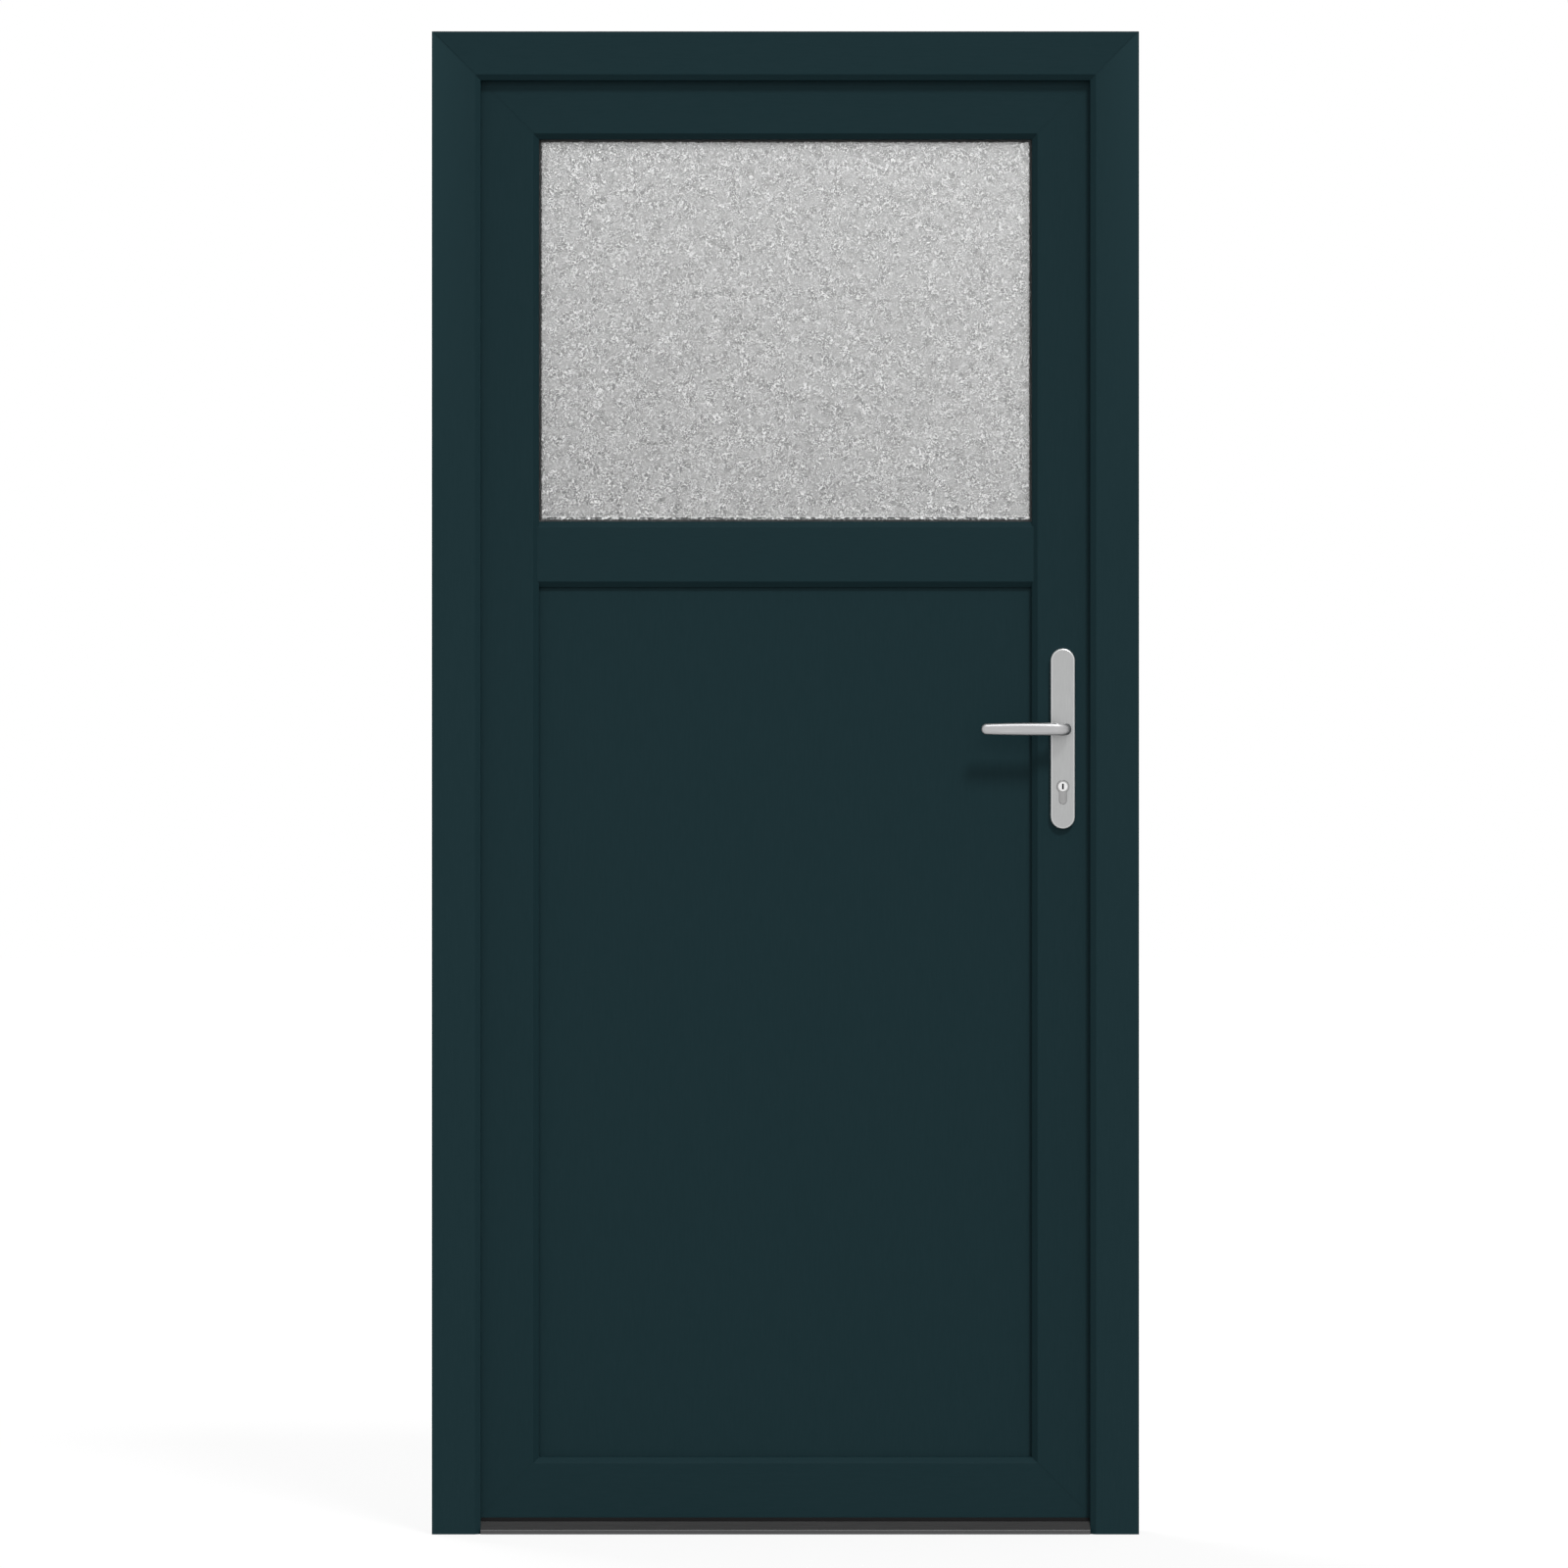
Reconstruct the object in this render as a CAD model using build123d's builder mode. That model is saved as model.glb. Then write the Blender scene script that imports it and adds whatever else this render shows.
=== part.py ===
from build123d import *
import os

os.makedirs("parts", exist_ok=True)

# Overall size. X runs across the door, Y runs from outdoors to indoors, Z is up.
# The origin is on the floor, at the middle of the frame's width and depth.
door_width = 988.0
door_height = 2100.0

# Hollow plastic profiles: walls, inner ribs and the slack round what slides into them.
profile_wall = 3.0
profile_rib = 1.8
profile_arris = 1.2
slide_slack = 0.3
steel_wall = 2.0
weld_width = 2.4
weld_depth = 0.4
mitre_angle = 45
right_angle = 90
overrun = 5.0

# Frame profile. Widths are measured from the frame's outer edge towards the middle of
# the doorway, depths from its outdoor face towards the room.
frame_depth = 70.0
frame_face = 60.0
frame_bevel = 8.0
frame_bevel_drop = 6.0
frame_lip = 17.0
steel_bay = 32.3
frame_front_bay = 5.2
frame_back_bay = 9.2
anchor_groove_width = 9.0
anchor_groove_depth = 1.2

# Frame fixings: two pairs of anchor holes through each jamb.
anchor_radius = 5.25
anchor_end_inset = 200.0
anchor_inner_share = 0.4

# Sash profile and the way it sits in the frame.
sash_overlap = 12.0
rebate_air = 12.0
sash_depth = 70.0
sash_face = 85.0
sash_bevel = 8.0
sash_bevel_drop = 7.0
sash_leg = 14.0
sash_front_bay = 8.0
sash_back_bay = 13.0
flange_gap = 3.0
flange_cover = 8.0
sash_bottom = 13.0
hardware_groove_width = 16.0
hardware_groove_depth = 3.0

# Transom between the glass and the lower panel.
transom_height = 1370.0
transom_face = 76.0
transom_setback = 5.0
transom_bevel_drop = 7.0

# Seals.
seal_gap = 3.0
seal_foot_width = 3.0
seal_foot_depth = 3.0
seal_foot_inset = 3.0
seal_lip_inset = 8.0
seal_lip_setback = 0.5
touch_gap = 0.3
back_seal_width = 6.0

# Glazing.
glazing_rebate = 18.0
glazing_play = 5.0
glass_pane = 4.0
glass_cavity = 16.0
glazing_seal = 3.0
glazing_seal_inset = 8.0
glazing_seal_setback = 0.4
inner_seal_proud = 1.5
spacer_inset = 2.0
spacer_width = 8.0
packer_length = 100.0
packer_inset = 120.0
bead_nose = 8.0
bead_heel = 5.0
bead_foot_width = 3.0
bead_foot_length = 4.0
bead_foot_setback = 12.0
bead_play = 0.15

# Threshold.
threshold_ridge = 17.0
threshold_floor = 8.0
threshold_nose = 7.0
threshold_tray = 3.0
nose_width = 4.0
nose_setback = 0.5
ridge_width = 5.0
grip_groove_width = 2.0
grip_groove_depth = 0.8
grip_groove_pitch = 8.0
grip_groove_count = 4
threshold_seal_foot = 4.0
threshold_seal_rise = 5.0
bottom_seal_width = 32.0
bottom_seal_plate = 2.0
bottom_seal_fin = 2.0
bottom_seal_fin_spacing = 18.0

# Hinges on the room side.
hinge_end_inset = 270.0
hinge_middle_share = 0.52
hinge_axis_inset = 25.0
hinge_axis_stand = 14.0
hinge_height = 100.0
knuckle_height = 36.0
knuckle_gap = 0.3
barrel_radius = 9.0
pin_radius = 4.0
pin_fit = 0.05
pin_head_radius = 7.0
pin_head_height = 3.0
bush_wall = 2.0
frame_leaf_thickness = 4.0
frame_leaf_width = 30.0
frame_leaf_web = 10.0
sash_leaf_thickness = 3.0
sash_leaf_width = 34.0
sash_leaf_setback = 1.0
leaf_corner = 3.0
hinge_screw_head = 3.8
hinge_screw_shank = 2.1
hinge_screw_length = 24.0
hinge_screw_spacing = 38.0
hinge_frame_screw_inset = 7.0
hinge_sash_screw_inset = 28.0
screw_play = 0.1
countersink_angle = 45

# Lock: one latch and one dead bolt in a case behind a face plate on the sash edge.
backset = 50.0
lever_height = 1125.0
cylinder_drop = 80.0
lock_plane_depth = 46.0
face_plate_length = 270.0
face_plate_thickness = 3.0
face_plate_width = 16.0
case_thickness = 15.0
case_wall = 1.2
case_depth = 66.0
case_rise = 47.0
case_drop = 115.0
case_play = 0.4
follower_radius = 9.0
follower_fit = 0.05
follower_arm_length = 17.0
follower_arm_width = 6.0
follower_arm_thickness = 8.0
latch_thickness = 11.0
latch_projection = 10.5
latch_head_length = 24.0
latch_head_height = 24.0
latch_head_rise = 14.0
latch_nose_flat = 3.0
latch_tail_height = 10.0
latch_tail_rise = 20.0
latch_tail_thickness = 8.0
latch_lug_width = 3.2
latch_lug_gap = 0.5
latch_lug_rise = 11.0
spring_strip = 0.6
spring_width = 7.0
spring_foot_drop = 50.0
spring_foot_length = 17.0
spring_tip_rise = 24.0
spring_gap = 0.3
dead_bolt_height = 30.0
dead_bolt_rise = 22.0
dead_bolt_length = 42.0
dead_bolt_setback = 0.5
dead_bolt_throw = 18.0
dead_bolt_corner = 2.0
bolt_play = 0.3

# Keep on the lock jamb.
keep_thickness = 3.0
keep_width = 32.0
keep_front_margin = 5.0
keep_end_margin = 22.0
keep_window_play = 1.5
keep_screw_inset = 10.0
small_screw_head = 3.4
small_screw_shank = 1.9
keep_screw_length = 9.0
face_plate_screw_inset = 14.0
face_plate_screw_length = 22.0

# Profile cylinder.
cylinder_radius = 8.5
cylinder_tail_width = 10.0
cylinder_tail_drop = 24.5
cylinder_proud = 1.0
cylinder_play = 0.4
plug_radius = 6.5
plug_fit = 0.05
plug_proud = 0.5
cam_radius = 15.0
cam_hub_radius = 7.8
cam_width = 9.5
cam_tongue_width = 7.0
cam_gap = 0.5
keyway_width = 2.4
keyway_height = 8.0
keyway_depth = 20.0
cylinder_screw_drop = 20.2
cylinder_screw_head = 4.2
cylinder_screw_shank = 2.4
cylinder_screw_length = 58.0

# Handle set.
plate_height = 252.5
plate_width = 34.5
plate_thickness = 10.0
plate_rim = 2.5
plate_drop = 13.0
plate_shell = 2.5
neck_radius = 9.0
neck_play = 0.3
neck_gap = 0.3
lever_stand = 36.0
lever_thickness = 13.0
lever_reach = 115.0
lever_heel = 11.0
lever_root = 14.0
lever_bend = 15.0
lever_tip_radius = 7.6
lever_belly = 8.6
lever_heel_height = 17.6
lever_heel_rounding = 7.8
lever_wrist_rounding = 5.2
lever_edge = 4.5
lever_belly_share = 0.45
lever_taper_shares = (0.0, 0.08, 0.26, 0.5, 0.74, 0.92, 1.0)
spindle_side = 8.0
spindle_fit = 0.05
spindle_grip = 22.0
plate_screw_head = 4.6
plate_screw_shank = 2.5
plate_screw_bite = 6.0
plate_boss_radius = 5.5
stile_spindle_radius = 9.5

# Places that follow from the sizes above.
half_width = door_width / 2
half_depth = frame_depth / 2
frame_sight = frame_face + frame_bevel
sash_edge = frame_sight - sash_overlap
rebate_floor = sash_edge - rebate_air
sash_front = frame_lip + seal_gap
sash_back = sash_front + sash_depth
flange_front = frame_depth + flange_gap
flange_edge = rebate_floor - flange_cover
sash_bevel_start = sash_edge + sash_face
sash_sight = sash_bevel_start + sash_bevel
leg_back = sash_front + sash_leg
glazing_floor = sash_sight - glazing_rebate
glass_front = leg_back + glazing_seal
glass_unit = glass_pane + glass_cavity + glass_pane
glass_back = glass_front + glass_unit
bead_front = glass_back + glazing_seal
rail_datum = sash_bottom - sash_edge
main_bay_front = leg_back - profile_wall + profile_rib
main_bay_back = sash_back - profile_wall - sash_back_bay - profile_rib
main_bay_near = sash_edge + hardware_groove_depth + profile_wall
main_bay_far = glazing_floor - profile_wall
transom_half = transom_face / 2 + sash_bevel
transom_body = transom_half - glazing_rebate
transom_front = sash_front + transom_setback
sight_x = half_width - sash_sight
glass_sight_low = transom_height + transom_half
glass_sight_high = door_height - sash_sight
panel_sight_low = rail_datum + sash_sight
panel_sight_high = transom_height - transom_half
lock_x = half_width - sash_edge - backset
lock_y = lock_plane_depth - half_depth
cylinder_height = lever_height - cylinder_drop
case_top = lever_height + case_rise
case_bottom = lever_height - case_drop
face_x = half_width - sash_edge
face_plate_back = face_x - face_plate_thickness
case_front = lock_plane_depth - case_thickness / 2
case_back_x = face_plate_back - case_depth
face_plate_centre = (case_bottom + case_top) / 2
plate_centre = lever_height - plate_drop
plate_screw_reach = plate_height / 2 - plate_width / 2
hinge_top = door_height - hinge_end_inset
hinge_middle = hinge_end_inset + hinge_middle_share * (hinge_top - hinge_end_inset)
hinge_heights = (hinge_end_inset, hinge_middle, hinge_top)
hinge_x = hinge_axis_inset - half_width
hinge_depth = frame_depth + hinge_axis_stand

# Workplanes whose first direction runs from the outer edge into the doorway and whose
# second runs from outdoors to indoors, so one section serves every side.
left_side = Plane((-half_width, -half_depth, 0), x_dir=(1, 0, 0), z_dir=(0, 0, 1))
right_side = Plane((half_width, -half_depth, door_height), x_dir=(-1, 0, 0), z_dir=(0, 0, -1))
top_side = Plane((-half_width, -half_depth, door_height), x_dir=(0, 0, -1), z_dir=(1, 0, 0))
bottom_side = Plane((half_width, -half_depth, rail_datum), x_dir=(0, 0, 1), z_dir=(-1, 0, 0))

top_left = Plane((-half_width, 0, door_height), z_dir=(1, 0, 1))
top_right = Plane((half_width, 0, door_height), z_dir=(-1, 0, 1))
bottom_left = Plane((-half_width, 0, rail_datum), z_dir=(1, 0, -1))
bottom_right = Plane((half_width, 0, rail_datum), z_dir=(-1, 0, -1))
foot = Plane((0, 0, sash_bottom), z_dir=(0, 0, 1))
top_welds = ((-half_width, door_height, mitre_angle), (half_width, door_height, -mitre_angle))
foot_welds = ((-half_width, rail_datum, -mitre_angle), (half_width, rail_datum, mitre_angle))


def depth_plane(depth):
    """Upright plane facing outdoors, at a depth behind the frame's outdoor face."""
    return Plane.XZ.offset(half_depth - depth)


def span(low, high, mode=Mode.ADD):
    """Rectangle between two corners, in the sketch that is being drawn."""
    with Locations(((low[0] + high[0]) / 2, (low[1] + high[1]) / 2)):
        Rectangle(high[0] - low[0], high[1] - low[1], mode=mode)


def hoop(low, high, outwards, inwards):
    """Rectangular hoop round an opening, from outside its edge to inside it."""
    span((low[0] - outwards, low[1] - outwards), (high[0] + outwards, high[1] + outwards))
    span((low[0] + inwards, low[1] + inwards), (high[0] - inwards, high[1] - inwards), Mode.SUBTRACT)


def soften(section, corners, radius):
    """Rounds the given corners of the section that is being drawn."""
    fillet([section.vertices().sort_by_distance(Vector(*corner))[0] for corner in corners], radius)


def bar(section, plane, length, cuts):
    """Length of profile on a plane, trimmed by the given planes."""
    with BuildPart() as piece:
        with BuildSketch(plane):
            add(section)
        extrude(amount=length)
        for cutter, keep in cuts:
            split(bisect_by=cutter, keep=keep)
    return piece.part


def clean_welds(welds, front, back):
    """Shallow lines along the welded mitres, cut into both faces of the part being built."""
    for depth, way in ((front, -1), (back, 1)):
        with BuildSketch(depth_plane(depth)) as lines:
            for x, z, angle in welds:
                with Locations((x, z)):
                    Rectangle(weld_width, sash_sight * 4, rotation=angle)
        extrude(lines.sketch, amount=way * weld_depth, mode=Mode.SUBTRACT)


def screws(planes, head, shank, length):
    """Countersunk screws, heads flush with their planes, pointing along them."""
    with BuildPart() as group:
        with BuildSketch(*planes):
            Circle(head)
        extrude(amount=head - shank, taper=countersink_angle)
        with BuildSketch(*planes):
            Circle(shank)
        extrude(amount=length)
    return group.part


def screw_holes(planes, head, shank, length):
    """Seats for countersunk screws, cut from the part that is being built."""
    with BuildSketch(*planes) as mouths:
        Circle(head + screw_play)
    extrude(mouths.sketch, amount=head - shank, taper=countersink_angle, mode=Mode.SUBTRACT)
    with BuildSketch(*planes) as bores:
        Circle(shank + screw_play)
    extrude(bores.sketch, amount=length + screw_play, mode=Mode.SUBTRACT)


def save(part, name):
    """Names a finished piece and writes it."""
    part.label = name
    export_step(part, f"parts/{name}.step")


# Frame profile: an L with a bevelled outdoor lip, five bays and a groove for the seal.
frame_bays = []
frame_wall_back = rebate_floor - profile_wall
front_bay_back = frame_lip - profile_wall
second_bay_front = front_bay_back + profile_rib
steel_bay_front = second_bay_front + frame_front_bay + profile_rib
back_wall_front = frame_depth - profile_wall
steel_bay_back = back_wall_front - frame_back_bay - profile_rib
steel_bay_far = profile_wall + steel_bay
frame_bays.append(((profile_wall, profile_wall), (frame_face - profile_wall, front_bay_back)))
frame_bays.append(((profile_wall, second_bay_front), (frame_wall_back, steel_bay_front - profile_rib)))
frame_bays.append(((profile_wall, steel_bay_front), (steel_bay_far, steel_bay_back)))
frame_bays.append(((steel_bay_far + profile_rib, steel_bay_front), (frame_wall_back, steel_bay_back)))
frame_bays.append(((profile_wall, steel_bay_back + profile_rib), (frame_wall_back, back_wall_front)))
frame_groove_far = frame_sight - seal_foot_inset
frame_groove_near = frame_groove_far - seal_foot_width

with BuildSketch() as frame_section:
    with BuildLine():
        Polyline(
            (0, 0),
            (frame_face, 0),
            (frame_sight, frame_bevel_drop),
            (frame_sight, frame_lip),
            (rebate_floor, frame_lip),
            (rebate_floor, frame_depth),
            (0, frame_depth),
            close=True,
        )
    make_face()
    exposed = [(frame_face, 0), (frame_sight, frame_bevel_drop), (rebate_floor, frame_depth)]
    soften(frame_section, exposed, profile_arris)
    for low, high in frame_bays:
        span(low, high, Mode.SUBTRACT)
    span((frame_groove_near, frame_lip - seal_foot_depth), (frame_groove_far, frame_lip), Mode.SUBTRACT)
    for middle in (second_bay_front, back_wall_front - frame_back_bay / 2):
        half_groove = anchor_groove_width / 2
        span((0, middle - half_groove), (anchor_groove_depth, middle + half_groove), Mode.SUBTRACT)

anchor_depth = (steel_bay_front + steel_bay_back) / 2
anchor_outer_spacing = door_height - 2 * anchor_end_inset
anchor_inner_spacing = anchor_inner_share * anchor_outer_spacing
anchor_heights = []
for spacing in (anchor_outer_spacing, anchor_inner_spacing):
    anchor_heights += [door_height / 2 - spacing / 2, door_height / 2 + spacing / 2]


def anchor_holes(side):
    """Anchor holes straight through one side of the frame."""
    at = side * half_width
    planes = [
        Plane((at, anchor_depth - half_depth, height), x_dir=(0, 1, 0), z_dir=(-side, 0, 0))
        for height in anchor_heights
    ]
    with BuildSketch(*planes) as holes:
        Circle(anchor_radius)
    extrude(holes.sketch, amount=rebate_floor + overrun, mode=Mode.SUBTRACT)


# Hinge screws: a column of three through each leaf.
frame_leaf_face = frame_depth + frame_leaf_thickness
sash_leaf_face = sash_back + sash_leaf_thickness


def hinge_screw_planes(x, depth, heights):
    """Planes for the screws of the hinges at these heights, driven away from the room."""
    planes = []
    for height in heights:
        for step in (-hinge_screw_spacing, 0, hinge_screw_spacing):
            planes.append(Plane((x, depth - half_depth, height + step), x_dir=(1, 0, 0), z_dir=(0, -1, 0)))
    return planes


frame_screw_x = hinge_frame_screw_inset - half_width
sash_screw_x = flange_edge + hinge_sash_screw_inset - half_width
frame_screw_planes = hinge_screw_planes(frame_screw_x, frame_leaf_face, hinge_heights)
sash_screw_planes = hinge_screw_planes(sash_screw_x, sash_leaf_face, hinge_heights)

# Keep and face plate screws.
keep_x = half_width - rebate_floor - keep_thickness
latch_low = lever_height + latch_head_rise
latch_high = latch_low + latch_head_height
dead_low = cylinder_height + dead_bolt_rise
dead_high = dead_low + dead_bolt_height
keep_low = dead_low - keep_end_margin
keep_high = latch_high + keep_end_margin
keep_front = lock_plane_depth - latch_thickness / 2 - keep_window_play - keep_front_margin
keep_screw_heights = (keep_low + keep_screw_inset, (dead_high + latch_low) / 2, keep_high - keep_screw_inset)
keep_screw_planes = [
    Plane((keep_x, lock_y, height), x_dir=(0, 1, 0), z_dir=(1, 0, 0))
    for height in keep_screw_heights
]
face_screw_reach = face_plate_length / 2 - face_plate_screw_inset
face_screw_planes = [
    Plane((face_x, lock_y, face_plate_centre + reach), x_dir=(0, 1, 0), z_dir=(-1, 0, 0))
    for reach in (-face_screw_reach, face_screw_reach)
]

# Hinge jamb.
with BuildPart() as frame_hinge_jamb:
    add(bar(frame_section.sketch, left_side, door_height, [(top_left, Keep.BOTTOM)]))
    clean_welds(top_welds, 0, frame_depth)
    anchor_holes(-1)
    screw_holes(frame_screw_planes, hinge_screw_head, hinge_screw_shank, hinge_screw_length)
save(frame_hinge_jamb.part, "frame_hinge_jamb")

# Lock jamb, with a pocket for the dead bolt behind the keep.
with BuildPart() as frame_lock_jamb:
    add(bar(frame_section.sketch, right_side, door_height, [(top_right, Keep.BOTTOM)]))
    clean_welds(top_welds, 0, frame_depth)
    anchor_holes(1)
    screw_holes(keep_screw_planes, small_screw_head, small_screw_shank, keep_screw_length)
    window = latch_thickness / 2 + keep_window_play
    with BuildSketch(depth_plane(lock_plane_depth - window)):
        span(
            (half_width - rebate_floor, dead_low - keep_window_play),
            (half_width - frame_wall_back, dead_high + keep_window_play),
        )
    extrude(amount=-2 * window, mode=Mode.SUBTRACT)
save(frame_lock_jamb.part, "frame_lock_jamb")

# Head, mitred to both jambs.
with BuildPart() as frame_head:
    add(bar(frame_section.sketch, top_side, door_width, [(top_left, Keep.TOP), (top_right, Keep.TOP)]))
    clean_welds(top_welds, 0, frame_depth)
save(frame_head.part, "frame_head")

# Square steel tubes in the frame's largest bay.
with BuildSketch() as frame_steel_section:
    steel_low = (profile_wall + slide_slack, steel_bay_front + slide_slack)
    steel_high = (steel_bay_far - slide_slack, steel_bay_back - slide_slack)
    span(steel_low, steel_high)
    span(
        (steel_low[0] + steel_wall, steel_low[1] + steel_wall),
        (steel_high[0] - steel_wall, steel_high[1] - steel_wall),
        Mode.SUBTRACT,
    )
steel_foot = Plane((0, 0, threshold_ridge), z_dir=(0, 0, 1))
steel_head = Plane((0, 0, door_height - frame_sight), z_dir=(0, 0, 1))

with BuildPart() as jamb_steels:
    for side, plane in ((-1, left_side), (1, right_side)):
        trims = [(steel_foot, Keep.TOP), (steel_head, Keep.BOTTOM)]
        add(bar(frame_steel_section.sketch, plane, door_height, trims))
        anchor_holes(side)
    screw_holes(frame_screw_planes, hinge_screw_head, hinge_screw_shank, hinge_screw_length)
save(jamb_steels.part, "jamb_steels")

with BuildPart() as head_steel:
    ends = [
        (Plane((frame_sight - half_width, 0, 0), z_dir=(1, 0, 0)), Keep.TOP),
        (Plane((half_width - frame_sight, 0, 0), z_dir=(1, 0, 0)), Keep.BOTTOM),
    ]
    add(bar(frame_steel_section.sketch, top_side, door_width, ends))
save(head_steel.part, "head_steel")

# Threshold: a metal tray with a rounded nose, under a plastic core that ramps up to the
# ridge the sash closes against. Both are cut square at the frame's sight line in front, and
# coped round the jambs behind it.
with BuildSketch() as jamb_outline:
    with BuildLine():
        Polyline(
            (0, 0),
            (frame_sight, 0),
            (frame_sight, frame_lip),
            (rebate_floor, frame_lip),
            (rebate_floor, frame_depth),
            (0, frame_depth),
            close=True,
        )
    make_face()


def cope_to_jambs():
    """Cuts the outlines of both jambs from the part that is being built."""
    with BuildSketch(left_side, right_side) as outlines:
        add(jamb_outline.sketch)
    extrude(outlines.sketch, amount=door_height, mode=Mode.SUBTRACT)


ridge_front = frame_lip - ridge_width
threshold_end = Plane((-half_width, -half_depth, 0), x_dir=(0, 1, 0), z_dir=(1, 0, 0))

with BuildPart() as threshold_rail:
    with BuildSketch(threshold_end) as tray:
        span((nose_setback, 0), (frame_depth, threshold_tray))
        span((nose_setback, 0), (nose_width, threshold_nose))
        fillet(tray.vertices().sort_by_distance(Vector(nose_setback, threshold_nose))[0], nose_width / 2)
    extrude(amount=door_width)
    cope_to_jambs()
save(threshold_rail.part, "threshold_rail")

with BuildPart() as threshold_core:
    with BuildSketch(threshold_end):
        with BuildLine():
            Polyline(
                (nose_width, threshold_tray),
                (nose_width, threshold_nose),
                (ridge_front, threshold_ridge),
                (frame_lip, threshold_ridge),
                (frame_lip, threshold_floor),
                (frame_depth, threshold_floor),
                (frame_depth, threshold_tray),
                close=True,
            )
        make_face()
        for count in range(grip_groove_count):
            groove = frame_depth - (count + 1) * grip_groove_pitch
            span(
                (groove, threshold_floor - grip_groove_depth),
                (groove + grip_groove_width, threshold_floor),
                Mode.SUBTRACT,
            )
    extrude(amount=door_width)
    cope_to_jambs()
save(threshold_core.part, "threshold_core")

# Frame seal: one strip round the jambs and head, its foot in the groove of the lip.
def frame_strip(far, near):
    """Strip round three sides, between two widths from the frame's outer edge."""
    span((far - half_width, threshold_ridge), (half_width - far, door_height - far))
    span((near - half_width, threshold_ridge), (half_width - near, door_height - near), Mode.SUBTRACT)


seal_lip_near = frame_sight - seal_lip_setback
with BuildPart() as frame_seal:
    with BuildSketch(depth_plane(frame_lip - seal_foot_depth)):
        frame_strip(frame_groove_near, frame_groove_far)
    extrude(amount=-seal_foot_depth)
    with BuildSketch(depth_plane(frame_lip)):
        frame_strip(frame_sight - seal_lip_inset, seal_lip_near)
    extrude(amount=touch_gap - seal_gap)
save(frame_seal.part, "frame_seal")

with BuildPart() as threshold_seal:
    with BuildSketch(depth_plane(frame_lip)):
        span(
            (seal_lip_near - half_width, threshold_floor + threshold_seal_foot),
            (half_width - seal_lip_near, threshold_ridge + threshold_seal_rise),
        )
    extrude(amount=touch_gap - seal_gap)
save(threshold_seal.part, "threshold_seal")

# Keep: a plate on the jamb's rebate with a window for the dead bolt. The latch mouth is
# open towards the room, as on a keep whose day latch is released.
with BuildPart() as lock_keep:
    with BuildSketch(depth_plane(keep_front)):
        span((keep_x, keep_low), (keep_x + keep_thickness, keep_high))
    extrude(amount=-keep_width)
    with BuildSketch(depth_plane(lock_plane_depth - window)):
        span((keep_x, dead_low - keep_window_play), (keep_x + keep_thickness, dead_high + keep_window_play))
    extrude(amount=-2 * window, mode=Mode.SUBTRACT)
    with BuildSketch(depth_plane(lock_plane_depth - window)):
        span((keep_x, latch_low - keep_window_play), (keep_x + keep_thickness, latch_high + keep_window_play))
    extrude(amount=-keep_width, mode=Mode.SUBTRACT)
    screw_holes(keep_screw_planes, small_screw_head, small_screw_shank, keep_screw_length)
save(lock_keep.part, "lock_keep")
save(screws(keep_screw_planes, small_screw_head, small_screw_shank, keep_screw_length), "keep_screws")

# Sash profile: a Z with a bevelled leg in front of the glass, a flange over the frame,
# a hardware groove on its edge, and grooves for the glazing seal and the beads.
glazing_groove_far = sash_sight - seal_foot_inset
glazing_groove_near = glazing_groove_far - seal_foot_width
bead_groove_front = sash_back - bead_foot_setback - bead_play
bead_groove_back = sash_back - bead_foot_setback + bead_foot_width + bead_play
bead_groove_floor = glazing_floor - bead_foot_length - bead_play
hardware_front = lock_plane_depth - hardware_groove_width / 2
hardware_back = lock_plane_depth + hardware_groove_width / 2
back_bay_front = main_bay_back + profile_rib
front_bay_far = sash_bevel_start - profile_wall
front_bay_deep = main_bay_front - profile_rib


def sash_section(edge_corners):
    """Hollow sash profile, its outer edge closed by the given corners."""
    with BuildSketch() as section:
        with BuildLine():
            Polyline(
                (sash_edge, sash_front),
                (sash_bevel_start, sash_front),
                (sash_sight, sash_front + sash_bevel_drop),
                (sash_sight, leg_back),
                (glazing_floor, leg_back),
                (glazing_floor, sash_back),
                *edge_corners,
                close=True,
            )
        make_face()
        bevel_corners = [(sash_bevel_start, sash_front), (sash_sight, sash_front + sash_bevel_drop)]
        soften(section, [*bevel_corners, edge_corners[0]], profile_arris)
        bay_near = sash_edge + profile_wall
        bay_back = sash_back - profile_wall
        span((bay_near, sash_front + profile_wall), (front_bay_far, front_bay_deep), Mode.SUBTRACT)
        span((main_bay_near, main_bay_front), (main_bay_far, main_bay_back), Mode.SUBTRACT)
        span((bay_near, back_bay_front), (bead_groove_floor - profile_wall, bay_back), Mode.SUBTRACT)
        if len(edge_corners) > 1:
            flange_low = (flange_edge + profile_wall, flange_front + profile_wall)
            span(flange_low, (bay_near - profile_rib, bay_back), Mode.SUBTRACT)
        span((sash_edge, hardware_front), (sash_edge + hardware_groove_depth, hardware_back), Mode.SUBTRACT)
        span((glazing_groove_near, leg_back - seal_foot_depth), (glazing_groove_far, leg_back), Mode.SUBTRACT)
        span((bead_groove_floor, bead_groove_front), (glazing_floor, bead_groove_back), Mode.SUBTRACT)
    return section.sketch


flanged = sash_section([(flange_edge, sash_back), (flange_edge, flange_front), (sash_edge, flange_front)])
plain = sash_section([(sash_edge, sash_back)])

# Steel channels in the sash, open towards the edge so that the lock case fits inside.
with BuildSketch() as sash_steel_section:
    channel_low = (main_bay_near + slide_slack, main_bay_front + slide_slack)
    channel_high = (main_bay_far - slide_slack, main_bay_back - slide_slack)
    span(channel_low, channel_high)
    span(
        (channel_low[0], channel_low[1] + steel_wall),
        (channel_high[0] - steel_wall, channel_high[1] - steel_wall),
        Mode.SUBTRACT,
    )


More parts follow.
